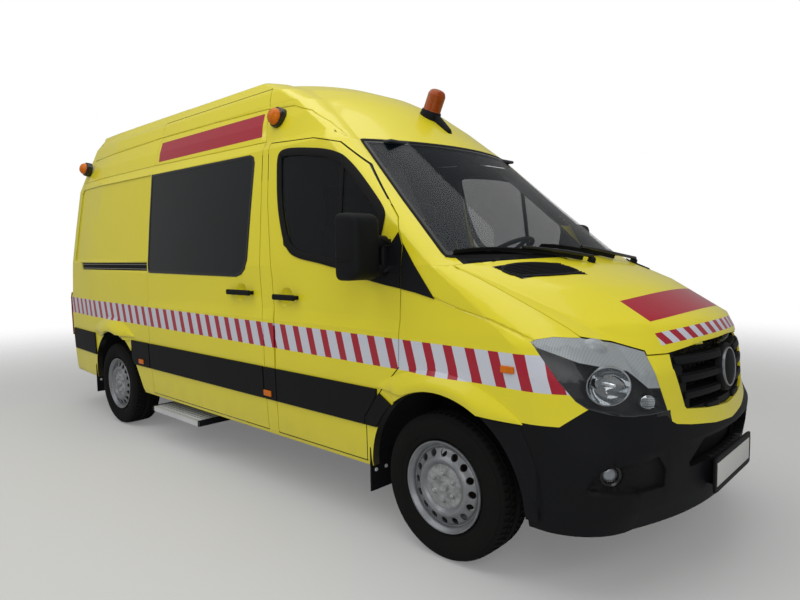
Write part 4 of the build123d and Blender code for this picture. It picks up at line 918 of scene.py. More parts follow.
class WheelSettings(PropertyGroup):
    """What a wheel is made to."""
    holes: IntProperty(name="Holes", description="Round holes in the rim's disc", default=16,
                       subtype="UNSIGNED")
    hole_radius: FloatProperty(name="Hole radius", description="Radius of a hole in the disc",
                               default=0.0180, unit="LENGTH")
    hole_circle: FloatProperty(name="Hole circle", description="Radius of the ring of holes", default=0.164,
                               unit="LENGTH")
    nuts: IntProperty(name="Nuts", description="Wheel nuts", default=6, subtype="UNSIGNED")
    tread_blocks: IntProperty(name="Tread blocks", description="Blocks round the tread", default=66,
                              subtype="UNSIGNED")


class StageSettings(PropertyGroup):
    """Floor, lights and camera."""
    light: FloatProperty(name="Light", description="Power of the overhead light", default=270.0,
                         unit="POWER")
    fill: FloatProperty(name="Fill", description="Brightness of the white surroundings on the van",
                        default=0.33, subtype="FACTOR")
    gleam: FloatProperty(name="Gleam", description="Brightness of the surroundings in reflections",
                         default=0.36, subtype="FACTOR")
    floor_radius: FloatProperty(name="Floor radius", description="Where the floor has faded out",
                                default=11.0, unit="LENGTH")
    focal: FloatProperty(name="Focal length", description="The camera's focal length in pixels, 800 across",
                         default=612.5, subtype="PIXEL")


class VAN_OT_finishes(Operator):
    """Make every finish and lay it on the CAD nodes"""
    bl_idname = "van.finishes"
    bl_label = "Finishes"

    def execute(self, context):
        make_finishes(context.scene.van_colours, context.scene.van_livery)
        for name, part in NODES.items():
            part.data.materials.clear()
            part.data.materials.append(FINISHES[SLOT_OF[name]])
        return {"FINISHED"}


# Each light: its place, its size, its share of the power and the point it looks at
LIGHTS = {"overhead": ((0.5, -1.0, 7.5), 8, 1.0, (0, 0, 1)),
          "front": ((7, -6, 4.5), 5, 0.6, (1.5, 0, 1)),
          "side": ((-2.5, -6.5, 6.5), 5, 0.32, (-1, 0, 1.4))}
# The camera's place from the front axle; how far it is turned, lowered and rolled; and its film's width
CAMERA_EYE = (1.796, -3.149, 1.463)
CAMERA_TURN = (46.83, 4.36, -0.80)
FILM = 36
PICTURE_WIDTH = 800


class VAN_OT_stage(Operator):
    """Build the floor, the lights, the white surroundings and the camera"""
    bl_idname = "van.stage"
    bl_label = "Stage"

    def execute(self, context):
        sizes = context.scene.van_stage
        bpy.ops.mesh.primitive_circle_add(vertices=96, radius=sizes.floor_radius * 1.3, fill_type="NGON")
        floor = bpy.context.object
        floor.name = "studio_floor"
        # A pale matt floor that thins out into the white surroundings
        made, shader, add, place = begin("pale_floor", Roughness=0.85, Base_Color=linear("CFCFCE"))
        reach = add("VectorMath", place, operation="LENGTH", out="Value")
        fade = {"Value": reach, "From Min": sizes.floor_radius * 0.33, "From Max": sizes.floor_radius,
                "To Min": 0.85, "To Max": 0.0}
        feed(shader, {"Alpha": add("MapRange", fade, interpolation_type="SMOOTHSTEP")})
        floor.data.materials.append(made)
        for name, (place, size, share, target) in LIGHTS.items():
            bpy.ops.object.light_add(type="AREA", location=place)
            lamp = bpy.context.object
            lamp.name = name + "_light"
            lamp.data.size = size
            lamp.data.energy = sizes.light * share
            lamp.rotation_euler = (Vector(target) - Vector(place)).to_track_quat("-Z", "Y").to_euler()
        world = bpy.data.worlds.new("studio")
        context.scene.world = world
        world.use_nodes = True
        tree = world.node_tree
        # The camera sees the surroundings as white, straight or through glass; the van is lit by less
        rays = node(tree, "LightPath").node.outputs
        seen = node(tree, "MAXIMUM", rays["Is Camera Ray"], rays["Is Transmission Ray"])
        shown = node(tree, "MapRange", {"Value": rays["Is Glossy Ray"], "To Min": sizes.fill,
                                        "To Max": sizes.gleam})
        level = node(tree, "MapRange", {"Value": seen, "To Min": shown, "To Max": 1.0})
        feed(tree.nodes["Background"], {"Strength": level, "Color": (1, 1, 1, 1)})
        context.scene.view_settings.view_transform = "Standard"
        yaw, pitch, roll = [math.radians(angle) for angle in CAMERA_TURN]
        look = Vector((-math.cos(yaw) * math.cos(pitch), math.sin(yaw) * math.cos(pitch), -math.sin(pitch)))
        right = look.cross(Vector((0, 0, 1))).normalized()
        up = right.cross(look)
        right, up = (math.cos(roll) * right + math.sin(roll) * up,
                     math.cos(roll) * up - math.sin(roll) * right)
        bpy.ops.object.camera_add()
        camera = bpy.context.object
        camera.data.sensor_width = FILM
        camera.data.lens = sizes.focal * FILM / PICTURE_WIDTH
        rows = [tuple(row) for row in zip(right, up, -look, spot(*CAMERA_EYE))]
        camera.matrix_world = Matrix(rows + [(0, 0, 0, 1)])
        context.scene.camera = camera
        return {"FINISHED"}


SMOOTHED = (
    "bonnet", "roof_panel", "side_panel_right", "side_panel_left", "sliding_door", "cab_pillars", "wings",
    "front_door_right", "front_door_left", "rear_door_right", "rear_door_left", "nose_panel", "roof_unit",
    "front_bumper", "cowl", "body_trim", "rear_bumper", "grille", "arch_liners", "dashboard", "floor",
    "bulkheads", "seat_bases", "side_step",
    "windscreen", "side_windows", "rear_door_glass_right", "rear_door_glass_left")


class VAN_OT_panels(Operator):
    """Turn the faceted panels, trim and panes into smooth ones"""
    bl_idname = "van.panels"
    bl_label = "Body panels"

    def execute(self, context):
        for name in SMOOTHED:
            dressed(name, "partition_board" if name == "bulkheads" else None)
        for side, _ in SIDES:
            dressed(f"front_door_glass_{side}", "door_glass")
        return {"FINISHED"}


# The front door's window seal along its outer edge, and the divider: distance from the front axle, height
DOOR_WINDOW = [
    (-1.329, 2.056), (-1.299, 2.092), (-1.205, 2.094), (-1.055, 2.076), (-0.882, 2.049), (-0.762, 2.013),
    (-0.708, 1.979), (-0.621, 1.910), (-0.501, 1.799), (-0.388, 1.690), (-0.368, 1.645), (-0.440, 1.372),
    (-0.470, 1.352), (-0.743, 1.398), (-0.863, 1.420), (-1.050, 1.446), (-1.138, 1.480), (-1.197, 1.550),
    (-1.244, 1.654), (-1.289, 1.791), (-1.315, 1.939)]
DIVIDER = [(-0.728, 1.985), (-0.700, 1.42)]
# The windscreen's edge as seen from ahead
SCREEN_EDGE = [(-0.8935, 1.4445), (0.8935, 1.4445), (0.7395, 2.1035), (-0.7395, 2.1035)]


class VAN_OT_gaskets(Operator):
    """Lay the rubber seals round the windows and the divider in the front door's glass"""
    bl_idname = "van.gaskets"
    bl_label = "Window seals"

    def execute(self, context):
        for side, _ in SIDES:
            door = f"front_door_{side}"
            with skin_of(door, f"front_door_glass_{side}") as skin:
                outline = pulled_in(softened([(AXLE_F + x, z, 0) for x, z in DOOR_WINDOW]), 0.018)
                seal("door_seal_" + side, outline, 0.046, side, skin, 0.008, "rubber", door, sunk=0.004)
                line = [(AXLE_F + x, z) for x, z in DIVIDER]
                seal("window_divider_" + side, line, 0.03, side, skin, 0.005, "rubber", door, closed=False)
            panel = "sliding_door" if side == "right" else "side_panel_left"
            with skin_of(panel, "side_windows") as skin:
                seal("side_window_seal_" + side, rim_of("side_windows", side), 0.020, side, skin, 0.003,
                     "gloss_black", BODY_OF[panel])
            door, pane = f"rear_door_{side}", f"rear_door_glass_{side}"
            with skin_of(door, pane) as skin:
                seal("rear_window_seal_" + side, rim_of(pane, "rear"), 0.026, "rear", skin, 0.004,
                     "rubber", door)
        with skin_of("windscreen", "cab_pillars", "roof_panel", "cowl") as skin:
            seal("windscreen_seal", rounded(SCREEN_EDGE, 0.02), 0.014, "front", skin, 0.002, "rubber")
        return {"FINISHED"}


# Half of the tyre from bead to tread: radius, offset from the middle
TYRE = [(0.2215, 0.0905), (0.2260, 0.0985), (0.2330, 0.1030), (0.2450, 0.1085), (0.2530, 0.1090),
        (0.2545, 0.1110), (0.2600, 0.1130), (0.2830, 0.1165), (0.3000, 0.1172), (0.3150, 0.1158),
        (0.3290, 0.1120), (0.3300, 0.1095), (0.3400, 0.1050), (0.3478, 0.0965), (0.3520, 0.0860),
        (0.3535, 0.0770), (0.3545, 0.0640), (0.3455, 0.0615), (0.3455, 0.0530), (0.3548, 0.0505),
        (0.3552, 0.0300), (0.3462, 0.0275), (0.3462, 0.0190), (0.3553, 0.0165)]
# The steel rim's closed section, from its outer lip over the disc and back along the well
RIM = [(0.2215, -0.1040), (0.2188, -0.1088), (0.2130, -0.1070), (0.2075, -0.0995), (0.1985, -0.0930),
       (0.1950, -0.0860), (0.1925, -0.0760), (0.1880, -0.0750), (0.1820, -0.0820), (0.1740, -0.0870),
       (0.1560, -0.0930), (0.1470, -0.0990), (0.1400, -0.1070), (0.1325, -0.1100), (0.1240, -0.1080),
       (0.1160, -0.1010), (0.1100, -0.0930), (0.1050, -0.0900), (0.0830, -0.0890), (0.0620, -0.0890),
       (0.0600, -0.0810), (0.1060, -0.0820), (0.1170, -0.0900), (0.1325, -0.1020), (0.1420, -0.0960),
       (0.1520, -0.0870), (0.1740, -0.0790), (0.1820, -0.0700), (0.1860, -0.0500), (0.1860, 0.0700),
       (0.2000, 0.0950), (0.2150, 0.1080), (0.2205, 0.1040), (0.2080, 0.0880), (0.2040, -0.0880)]
NUT = [(0.0, -0.1095), (0.008, -0.109), (0.0115, -0.106), (0.0115, -0.097), (0.015, -0.094), (0.015, -0.087)]
NUT_CIRCLE = 0.065
HUB_COVER = [(0.0, -0.1090), (0.014, -0.1085), (0.022, -0.105), (0.025, -0.099), (0.026, -0.0905),
             (0.060, -0.0925), (0.100, -0.0925), (0.107, -0.0900)]
TREAD_DEPTH = 0.0055


class VAN_OT_wheels(Operator):
    """Turn the tyres with their tread, and the steel rims with their holes, nuts and caps"""
    bl_idname = "van.wheels"
    bl_label = "Wheels"

    def execute(self, context):
        sizes = context.scene.van_wheels
        whole = TYRE + [(radius, -offset) for radius, offset in reversed(TYRE)]
        tyre = lathe("tyre", whole, (0, 0, 0), (0, -1, 0), sizes.tread_blocks * 2)

        # Every other step of the shoulder and middle ribs is pressed in, which leaves the tread blocks
        def is_slot(face):
            place = face.calc_center_median()
            turn = math.atan2(place.z, place.x) / math.tau * sizes.tread_blocks
            reach = math.hypot(place.x, place.z)
            width = abs(place.y)
            if width > 0.062:
                return 0.3495 < reach and (turn + 0.25) % 1 < 0.5 and width < 0.092
            return 0.354 < reach and 0.028 < width and (turn + 0.75) % 1 < 0.5

        with editing(tyre):
            pick(tyre, is_slot)
            bpy.ops.mesh.extrude_region_shrink_fatten(TRANSFORM_OT_shrink_fatten={"value": -TREAD_DEPTH})
        rim = lathe("rim", RIM, (0, 0, 0), (0, 1, 0), 96, closed=True)
        cutters = []
        for turn in turns(sizes.holes):
            bpy.ops.mesh.primitive_cylinder_add(
                vertices=28, radius=sizes.hole_radius, depth=0.05, rotation=(math.pi / 2, 0, 0),
                location=(sizes.hole_circle * math.cos(turn), -0.086, sizes.hole_circle * math.sin(turn)))
            cutters.append(settle(bpy.context.object))
        cutter = joined("hole_cutter", *cutters)
        modify(rim, "BOOLEAN", object=cutter, operation="DIFFERENCE", solver="EXACT")
        drop(cutter)
        bevelled(rim, 0.0018)
        places = [(NUT_CIRCLE * math.cos(turn), 0, NUT_CIRCLE * math.sin(turn))
                  for turn in turns(sizes.nuts, 0.5)]
        nuts = [lathe("nut", NUT, place, (0, 1, 0), 6) for place in places]
        hub = joined("hub", *nuts, lathe("cap", HUB_COVER, (0, 0, 0), (0, 1, 0), 40))
        bevelled(hub, 0.001, 40)
        for end, x in (("front", AXLE_F), ("rear", AXLE_R)):
            for side, sign in SIDES:
                for part, finish in ((tyre, "tyre_rubber"), (rim, "steel_rim"), (hub, "hub_cover")):
                    name = f"{part.name}_{end}_{side}"
                    made = twin(part, name)
                    made.location = (x, sign * WHEEL_Y, WHEEL_Z)
                    made.rotation_euler = (0, 0, 0 if sign < 0 else math.pi)
                    done(made, finish, f"wheel_{end}_{side}", (name,) if name in NODES else (), 35)
        for part in (tyre, rim, hub):
            drop(part)
        return {"FINISHED"}


# The headlamp's reflector, bulb shield, side lamp and indicator: radius, offset
BOWL = [(0.0, -0.040), (0.030, -0.037), (0.058, -0.024), (0.078, 0.000), (0.086, 0.014), (0.092, 0.014),
        (0.094, 0.004)]
BULB_SHIELD = [(0.0, 0.062), (0.006, 0.058), (0.014, 0.030), (0.021, 0.000), (0.024, -0.022)]
SIDE_LAMP = [(0.0, 0.008), (0.020, 0.006), (0.031, 0.001), (0.034, -0.012)]
INDICATOR = [(0.0, 0.014), (0.024, 0.011), (0.044, 0.003), (0.056, -0.008), (0.062, -0.022)]


class VAN_OT_headlamps(Operator):
    """Build the headlamps: housing, reflectors, bulb, indicator, ribbed strip and lens"""
    bl_idname = "van.headlamps"
    bl_label = "Headlamps"

    def execute(self, context):
        def of_headlamp(face, is_outer):
            return (face.normal.dot(CORNER_OUT) > 0.35) == is_outer and face.calc_center_median().z > 0.7

        lens = corner_piece("headlamp_lens_right", "front_lamps", lambda face: of_headlamp(face, True))
        bucket = corner_piece("headlamp_housing_right", "front_lamps", lambda face: of_headlamp(face, False))
        for shell in (bucket, lens):
            modify(shell, "SOLIDIFY", thickness=0.003, offset=-1)
        # The main reflector bowl faces the corner, and the bulb's bright shield points straight ahead
        bowl_place = spot(0.733, -0.797, 0.917)
        bowl = lathe("headlamp_bowl_right", BOWL, bowl_place, CORNER_OUT, 56)
        squeeze(bowl, bowl_place.z, 0.88)
        shield = lathe("headlamp_bulb_right", BULB_SHIELD, bowl_place + Vector((-0.020, 0.004, 0.006)),
                       (1, -0.25, 0), 28)
        small_place = spot(0.832, -0.632, 0.833)
        small = lathe("headlamp_side_lamp_right", SIDE_LAMP, small_place, CORNER_OUT, 32)
        ribs = [block("rib", (-0.024, -0.003, level - 0.0022), (0.024, 0.003, level + 0.0022), 0.001, 1)
                for level in (-0.018, -0.009, 0.0, 0.009, 0.018)]
        rib_set = joined("headlamp_side_ribs_right", *ribs)
        rib_set.rotation_euler = (0, 0, math.radians(45))
        rib_set.location = small_place + CORNER_OUT * 0.008
        settle(rib_set)
        turn_place = spot(0.671, -0.790, 1.053)
        turn = lathe("indicator_right", INDICATOR, turn_place, CORNER_OUT, 44)
        squeeze(turn, turn_place.z, 0.78)
        both(lens, "lens_clear")
        both(bucket, "lamp_housing", "body", ("front_lamps",))
        both(bowl, "chrome")
        both(shield, "bright_chrome")
        both(small, "chrome")
        both(rib_set, "lens_frosted")
        both(turn, "lens_frosted")
        return {"FINISHED"}


FOG_LAMP = [(0.0, 0.006), (0.014, 0.0055), (0.025, 0.003), (0.030, -0.001), (0.034, -0.012)]
FOG_RIM = [(0.032, -0.004), (0.036, 0.006), (0.047, 0.010), (0.055, 0.006), (0.057, -0.012)]


class VAN_OT_fog_lamps(Operator):
    """Build the fog lamps and their rims in the bumper's pockets"""
    bl_idname = "van.fog_lamps"
    bl_label = "Fog lamps"

    def execute(self, context):
        places = [corner.co.copy() for corner in NODES["front_lamps"].data.vertices
                  if corner.co.z < 0.62 and corner.co.y < 0]
        middle = sum(places, Vector()) / len(places)
        for name, profile, finish in (("lamp", FOG_LAMP, "lamp_grey"), ("rim", FOG_RIM, "gloss_black")):
            both(lathe(f"fog_{name}_right", profile, middle, CORNER_OUT, 44), finish)
        return {"FINISHED"}


# The plain disc on the grille, its ring and the dish behind them: name, finish, section
NOSE_DISC = (
    ("nose_disc", "rubber", [(0.0, 0.012), (0.040, 0.010), (0.074, 0.005), (0.086, -0.004)]),
    ("nose_disc_ring", "lamp_grey", [(0.085, -0.006), (0.0855, 0.005), (0.088, 0.008), (0.0915, 0.006),
                                     (0.093, -0.006)]),
    ("nose_disc_dish", "black_plastic", [(0.092, -0.010), (0.094, -0.002), (0.106, -0.001), (0.113, -0.008),
                                         (0.117, -0.026)]))
# The grille's slats: height, half length; they stop short of the disc
SLATS = ((0.758, 0.240), (0.831, 0.415), (0.906, 0.440), (0.983, 0.455))
SLAT_START = 0.100
NOSE_BOW = 0.264


class VAN_OT_nose(Operator):
    """Build the grille's mesh, its ringed plain disc, a dark board in the intake that is partly painted
    shade, and the blank front plate
    """
    bl_idname = "van.nose"
    bl_label = "Grille and plate"

    def execute(self, context):
        bpy.ops.mesh.primitive_grid_add(x_subdivisions=64, y_subdivisions=20, size=1,
                                        rotation=(0, math.pi / 2, 0), location=spot(0.900, 0, 0.885))
        mesh_panel = bpy.context.object
        mesh_panel.name = "grille_mesh"
        mesh_panel.scale = (0.29, 0.90, 1)
        settle(mesh_panel)
        modify(mesh_panel, "WIREFRAME", thickness=0.003)
        bow_sheet(mesh_panel, NOSE_BOW)
        done(mesh_panel, "gloss_black")
        for name, finish, profile in NOSE_DISC:
            done(lathe(name, profile, spot(0.968, 0, 0.909), (1, 0, 0.08), 56), finish)
        # Each slat of the grille carries a rounded nose along its length
        bars = []
        with skin_of("grille") as skin:
            for z, reach in SLATS:
                for start, end in ((-reach, -SLAT_START), (SLAT_START, reach)):
                    bar = band("grille_bar", [(start, z), (end, z)], 0.030, "front", False, 0.025)
                    bars.append(lay(bar, skin, "front", 0.013, 0.002, 0.006))
        done(joined("grille_bars", *bars), "black_plastic")
        # A near-black board bowed like the nose closes the bumper's intake: it stands for the cooler behind
        # it, and its black is also painted shade for the opening's depths
        shade_board = block("intake_backing", spot(0.905, -0.50, 0.455), spot(0.915, 0.50, 0.720), 0.002)
        with editing(shade_board):
            bpy.ops.mesh.subdivide(number_cuts=7)
        bow_sheet(shade_board, NOSE_BOW)
        done(shade_board, "rubber")
        low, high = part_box("number_plates")
        outline = oblong(-0.272, 0.272, low.z - 0.012, high.z + 0.012)
        plate_frame = band("front_plate_frame", outline, 0.030, "front")
        plate_frame.location = (high.x - LAYING["front"][0](0, 0)[0] - 0.0075, 0, 0)
        settle(plate_frame)
        modify(plate_frame, "SOLIDIFY", thickness=0.012, offset=0)
        done(bevelled(plate_frame, 0.003), "black_plastic")
        board = block("front_plate", (high.x - 0.010, -0.258, low.z + 0.002),
                      (high.x - 0.0004, 0.258, high.z - 0.002), 0.0015)
        done(board, "white_board", "body", ("number_plates",))
        return {"FINISHED"}


# The mirror's shell from its open back forwards: step ahead, share of the outline's size
MIRROR_SECTIONS = ((0.0, 0.965), (0.005, 0.99), (0.012, 1.0), (0.060, 1.0), (0.088, 0.985), (0.108, 0.95),
                   (0.124, 0.89), (0.134, 0.80), (0.140, 0.68), (0.142, 0.50))
# The blocks of the mirror's arms: two opposite corners, bevel, bevel segments
MIRROR_ARMS = (((-0.405, -1.060, 1.490), (-0.318, -0.960, 1.552), 0.022, 4),
               ((-0.400, -1.060, 1.352), (-0.316, -0.970, 1.408), 0.020, 4),
               ((-0.372, -1.010, 1.372), (-0.322, -0.965, 1.530), 0.012, 3))


class VAN_OT_mirrors(Operator):
    """Build the door mirrors on their two arms"""
    bl_idname = "van.mirrors"
    bl_label = "Mirrors"

    def execute(self, context):
        for side, _ in SIDES:
            # The shell's outline is well rounded as seen from behind, and its front bows forwards
            outline = rounded(oblong(-1.206, -1.022, 1.334, 1.660), 0.034)
            shell = housing("mirror_shell_" + side, [spot(-0.452, *corner.to_2d()) for corner in outline],
                            MIRROR_SECTIONS)
            fold = tube("mirror_fold_" + side, [spot(-0.446, -1.209, 1.436), spot(-0.360, -1.209, 1.428)],
                        0.002)
            pane = block("mirror_pane_" + side, spot(-0.4535, -1.190, 1.352), spot(-0.447, -1.030, 1.644),
                         0.004)
            rail = tube("mirror_split_" + side, [spot(-0.4545, -1.188, 1.442), spot(-0.4545, -1.032, 1.442)],
                        0.003)
            arm = joined("mirror_arms_" + side, *[
                block("mirror_arm", spot(*low), spot(*high), bevel, segments)
                for low, high, bevel, segments in MIRROR_ARMS])
            for thing, finish in ((shell, "black_plastic"), (pane, "mirror"), (rail, "rubber"),
                                  (fold, "rubber"), (arm, "black_plastic")):
                if side == "left":
                    other = mirrored(thing, thing.name + "_l")
                    drop(thing)
                    thing = other
                done(thing, finish, f"front_door_{side}")
            # The finished mirror takes the place of the one on the door's own trim
            trim = dressed(f"front_door_trim_{side}")
            with editing(trim):
                pick(trim, lambda face: abs(face.calc_center_median().y) > 0.999 and
                     face.calc_center_median().z > 1.32)
                bpy.ops.mesh.delete(type="FACE")
        return {"FINISHED"}


BEACON_TILT = math.radians(26)
BEACON_DOME = [(0.0, 0.203), (0.018, 0.2025), (0.036, 0.198), (0.049, 0.188), (0.056, 0.172)]
BEACON_LAMP = [(0.0, 0.165), (0.020, 0.160), (0.028, 0.140), (0.028, 0.080)]
BEACON_COLLAR = [(0.050, 0.066), (0.0625, 0.064), (0.0665, 0.058), (0.068, 0.040), (0.072, 0.022),
                 (0.072, -0.045), (0.058, -0.060)]
# The fin on the collar, seen from the side: distance from the front axle, height
BEACON_FIN = [(-0.835, 2.395), (-0.790, 2.352), (-0.700, 2.252), (-0.692, 2.215), (-0.860, 2.290)]
FIN_HALF = 0.024
CORNER_LENS = [(0.0, 0.076), (0.016, 0.074), (0.034, 0.067), (0.048, 0.052), (0.053, 0.036), (0.054, 0.0)]
CORNER_RING = [(0.050, 0.028), (0.056, 0.032), (0.063, 0.028), (0.066, 0.016), (0.067, -0.020)]


class VAN_OT_roof_lamps(Operator):
    """Build the beacon on its base with the fin, the corner lamps and the roof unit's louvres"""
    bl_idname = "van.roof_lamps"
    bl_label = "Roof lamps"

    def execute(self, context):
        axis = Vector((math.sin(BEACON_TILT), 0, math.cos(BEACON_TILT)))
        foot = spot(-0.876, 0, 2.335)
        # Fine rings run round the dome below its crown
        ribs = [(radius, 0.166 - index * 0.0070 - step) for index in range(14)
                for radius, step in ((0.0590, 0.0), (0.0572, 0.0033))]
        profile = BEACON_DOME + ribs + [(0.0610, 0.066), (0.0610, 0.056)]
        done(lathe("beacon_dome", profile, foot, axis, 64), "deep_amber", "body", ("beacon",), 40)
        done(lathe("beacon_lamp", BEACON_LAMP, foot, axis, 32), "chrome")
        collar = lathe("beacon_collar", BEACON_COLLAR, foot, axis, 64)
        done(collar, "black_plastic", "body", ("beacon_base",))
        fin = fresh("beacon_fin", [spot(x, -FIN_HALF, z) for x, z in BEACON_FIN], faces=[(0, 1, 2, 3, 4)])
        with editing(fin, "EDGE"):
            bpy.ops.mesh.extrude_region_move(TRANSFORM_OT_translate={"value": (0, 2 * FIN_HALF, 0)})
            face_outwards()
            bpy.ops.mesh.bevel(offset=0.010, segments=3, affect="EDGES")
        done(fin, "black_plastic")
        for end, x in (("front", -1.432), ("rear", -4.570)):
            place = spot(x, -0.796, 2.320)
            for name, profile, finish in (("lens", CORNER_LENS, "amber_lens"),
                                          ("ring", CORNER_RING, "gloss_black")):
                lamp = lathe(f"corner_{name}_{end}_right", profile, place, (0, -1, 0.18), 44)
                both(lamp, finish, "body", ("corner_lamps",) if (name, end) == ("lens", "front") else ())
        low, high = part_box("roof_unit")
        louvres = [block("louvre", (x, -0.26, high.z - 0.002), (x + 0.016, 0.26, high.z), 0.0008, 1)
                   for x in [low.x + 0.22 + index * 0.034 for index in range(9)]]
        done(joined("roof_unit_louvres", *louvres), "grey_plastic")
        return {"FINISHED"}


# Each wiper's blade from end to end, and its pivot
WIPERS = {"right": ((-0.009, -0.852, 1.462), (0.318, -0.205, 1.475), (0.345, -0.150, 1.435)),
          "left": ((0.175, -0.377, 1.560), (0.322, 0.160, 1.470), (0.330, 0.420, 1.440))}
WIPER_PIVOT = [(0.0, 0.030), (0.012, 0.028), (0.020, 0.020), (0.022, -0.02)]
# The right intake's corners on the bonnet: distance from the front axle, side
INTAKE = [(0.152, -0.764), (0.295, -0.409), (0.443, -0.387), (0.288, -0.723)]


class VAN_OT_scuttle(Operator):
    """Build the wipers and the bonnet's two intakes"""
    bl_idname = "van.scuttle"
    bl_label = "Wipers and intakes"

    def execute(self, context):
        for name, places in WIPERS.items():
            start, end, pivot = [spot(*place) for place in places]
            with skin_of("windscreen", "cowl", "bonnet", "cab_pillars", "wings") as skin:
                run = [start.lerp(end, index / 8) for index in range(9)]
                blade = tube("wiper_blade_" + name, draped(run, skin, 0.010), 0.0075)
                spine = tube("wiper_spine_" + name, draped(run, skin, 0.021), 0.0050)
                done(joined("wiper_blade_" + name, blade, spine), "rubber")
                reach = draped([start.lerp(end, 0.5), start.lerp(end, 0.75), end], skin, 0.034)
                reach += draped([pivot], skin, 0.030)
                done(tube("wiper_arm_" + name, softened(reach, False), 0.0090), "gloss_black")
                foot = draped([pivot], skin, 0.0)[0]
            done(lathe("wiper_pivot_" + name, WIPER_PIVOT, foot, (0.35, 0, 1), 28), "black_plastic")
        # Each intake is a frame let into the bonnet with slats across it
        corners = [Vector((AXLE_F + x, y, 0)) for x, y in INTAKE]
        with skin_of("bonnet", "cowl") as skin:
            base = lay(quilt("intake_base_right", corners, "top", (10, 20)), skin, "top", 0.0015, 0.001, 0.0)
            ring = lay(band("intake_frame_right", softened(corners), 0.012, "top"), skin, "top", 0.005)
            slats = []
            for share in [index / 10 for index in range(1, 10)]:
                line = [corners[0].lerp(corners[3], share), corners[1].lerp(corners[2], share)]
                slat = band("intake_slat", line, 0.0055, "top", closed=False)
                slats.append(lay(slat, skin, "top", 0.005, 0.001, 0.001))
        slat_set = joined("intake_slats_right", *slats)
        for piece, finish in ((base, "gloss_black"), (ring, "black_plastic"), (slat_set, "black_plastic")):
            both(piece, finish, "bonnet")
        return {"FINISHED"}


# The arch lips of each axle: ends, heights of their feet, rise, bulge
ARCH_LIPS = (("front", AXLE_F, (-0.400, 0.455), (0.785, 0.745), 0.150, 0.024),
             ("rear", AXLE_R, (-0.420, 0.420), (0.803, 0.803), 0.140, 0.034))
FLAP_BOLT = [(0.0, 0.006), (0.009, 0.005), (0.011, 0.0)]


class VAN_OT_sides(Operator):
    """Build the slide rail's lines, the marker lamps, the repeaters, the step's ribs and the flap bolts"""
    bl_idname = "van.sides"
    bl_label = "Side fittings"

    def execute(self, context):
        for side, _ in SIDES:
            with skin_of("wings", "body_trim", f"side_panel_{side}", "sliding_door",
                         f"front_door_trim_{side}") as skin:
                corners = oblong(AXLE_F + 0.352, AXLE_F + 0.418, 0.955, 0.985)
                pad("repeater_" + side, corners, side, (4, 8), skin, 0.010, 0.004, "amber_lens")
                for index, x in enumerate((-1.355, -3.115)):
                    corners = oblong(AXLE_F + x - 0.040, AXLE_F + x + 0.040, 0.597, 0.633)
                    pad(f"marker_{side}_{index}", corners, side, (4, 8), skin, 0.008, 0.003, "amber_lens")
        # The lips of the wheel arches, yellow like the body
        for side, _ in SIDES:
            with skin_of("wings", "body_trim", f"side_panel_{side}", f"front_door_{side}",
                         "front_bumper") as skin:
                for end, axle, ends, levels, rise, bulge in ARCH_LIPS:
                    brow = eyebrow(f"arch_lip_{end}_{side}", axle, side, ends, levels, rise, bulge, skin)
                    done(brow, "yellow_paint", "body", (), 50)
        # Rail lines in the channel behind the sliding door
        rails = [tube("rail_line", [spot(-4.37, -0.966, z), spot(-2.985, -0.970, z)], 0.0028)
                 for z in (1.402, 1.366)]
        done(joined("slide_rail_lines", *rails), "lamp_grey")
        low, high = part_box("side_step")
        ribs = [block("rib", (low.x + 0.03, y, 0.2735), (high.x - 0.03, y + 0.022, 0.2790), 0.0015)
                for y in [low.y + 0.035 + index * 0.030 for index in range(7)]]
        done(joined("step_ribs", *ribs), "bare_aluminium")
        for name, x0, x1 in (("front", high.x - 0.022, high.x + 0.001),
                             ("rear", low.x - 0.001, low.x + 0.022)):
            cap = block("step_cap_" + name, (x0, low.y - 0.001, 0.236), (x1, low.y + 0.260, 0.279), 0.004)
            done(cap, "black_plastic")
        bolts = [lathe("bolt", FLAP_BOLT, (axle - 0.470, y, z), (1, 0, 0), 12)
                 for axle in (AXLE_F, AXLE_R) for y in (-0.935, -0.860) for z in (0.325, 0.445)]
        both(joined("flap_bolts_right", *bolts), "bare_aluminium")
        return {"FINISHED"}


# The tail lamps' sections: name, lower and upper height, finish
TAIL_LAMPS = (("stop", 0.985, 1.105, "red_lens"), ("turn", 0.865, 0.975, "amber_lens"),
              ("reverse", 0.790, 0.855, "lens_frosted"), ("fog", 0.715, 0.780, "red_lens"))
# The rear doors' hinge leaves: distance from the middle, height
HINGES = ((0.755, 1.22), (0.755, 1.56), (0.725, 1.94))


class VAN_OT_tail(Operator):
    """Build the tail lamps' sections, the rear doors' hinges and handle, and the rear plate's place"""
    bl_idname = "van.tail"
    bl_label = "Tail"

    def execute(self, context):
        for side, sign in SIDES:
            with skin_of("tail_lamps", f"side_panel_{side}") as skin:
                middle = sign * 0.885
                for name, low, high, finish in TAIL_LAMPS:
                    corners = oblong(middle - 0.045, middle + 0.045, low, high)
                    pad(f"tail_{name}_{side}", corners, "rear", (6, 6), skin, 0.005, 0.003, finish)
            door = f"rear_door_{side}"
            with skin_of(door, f"side_panel_{side}") as skin:
                for index, (away, z) in enumerate(HINGES):
                    y = sign * away
                    corners = oblong(y - 0.012, y + 0.012, z - 0.045, z + 0.045)
                    pad(f"hinge_{side}_{index}", corners, "rear", (6, 3), skin, 0.014, 0.004,
                        "black_plastic", door)
        with skin_of("rear_door_right", "rear_door_left") as skin:
            pad("tail_handle", oblong(-0.17, -0.03, 1.195, 1.235), "rear", (4, 10), skin, 0.022, 0.006,
                "black_plastic", "rear_door_right")
            board = quilt("rear_plate", oblong(0.10, 0.62, 0.900, 1.010), "rear", (4, 12))
            done(lay(board, skin, "rear", 0.004, 0.001, 0.001), "white_board", "rear_door_left")
        return {"FINISHED"}


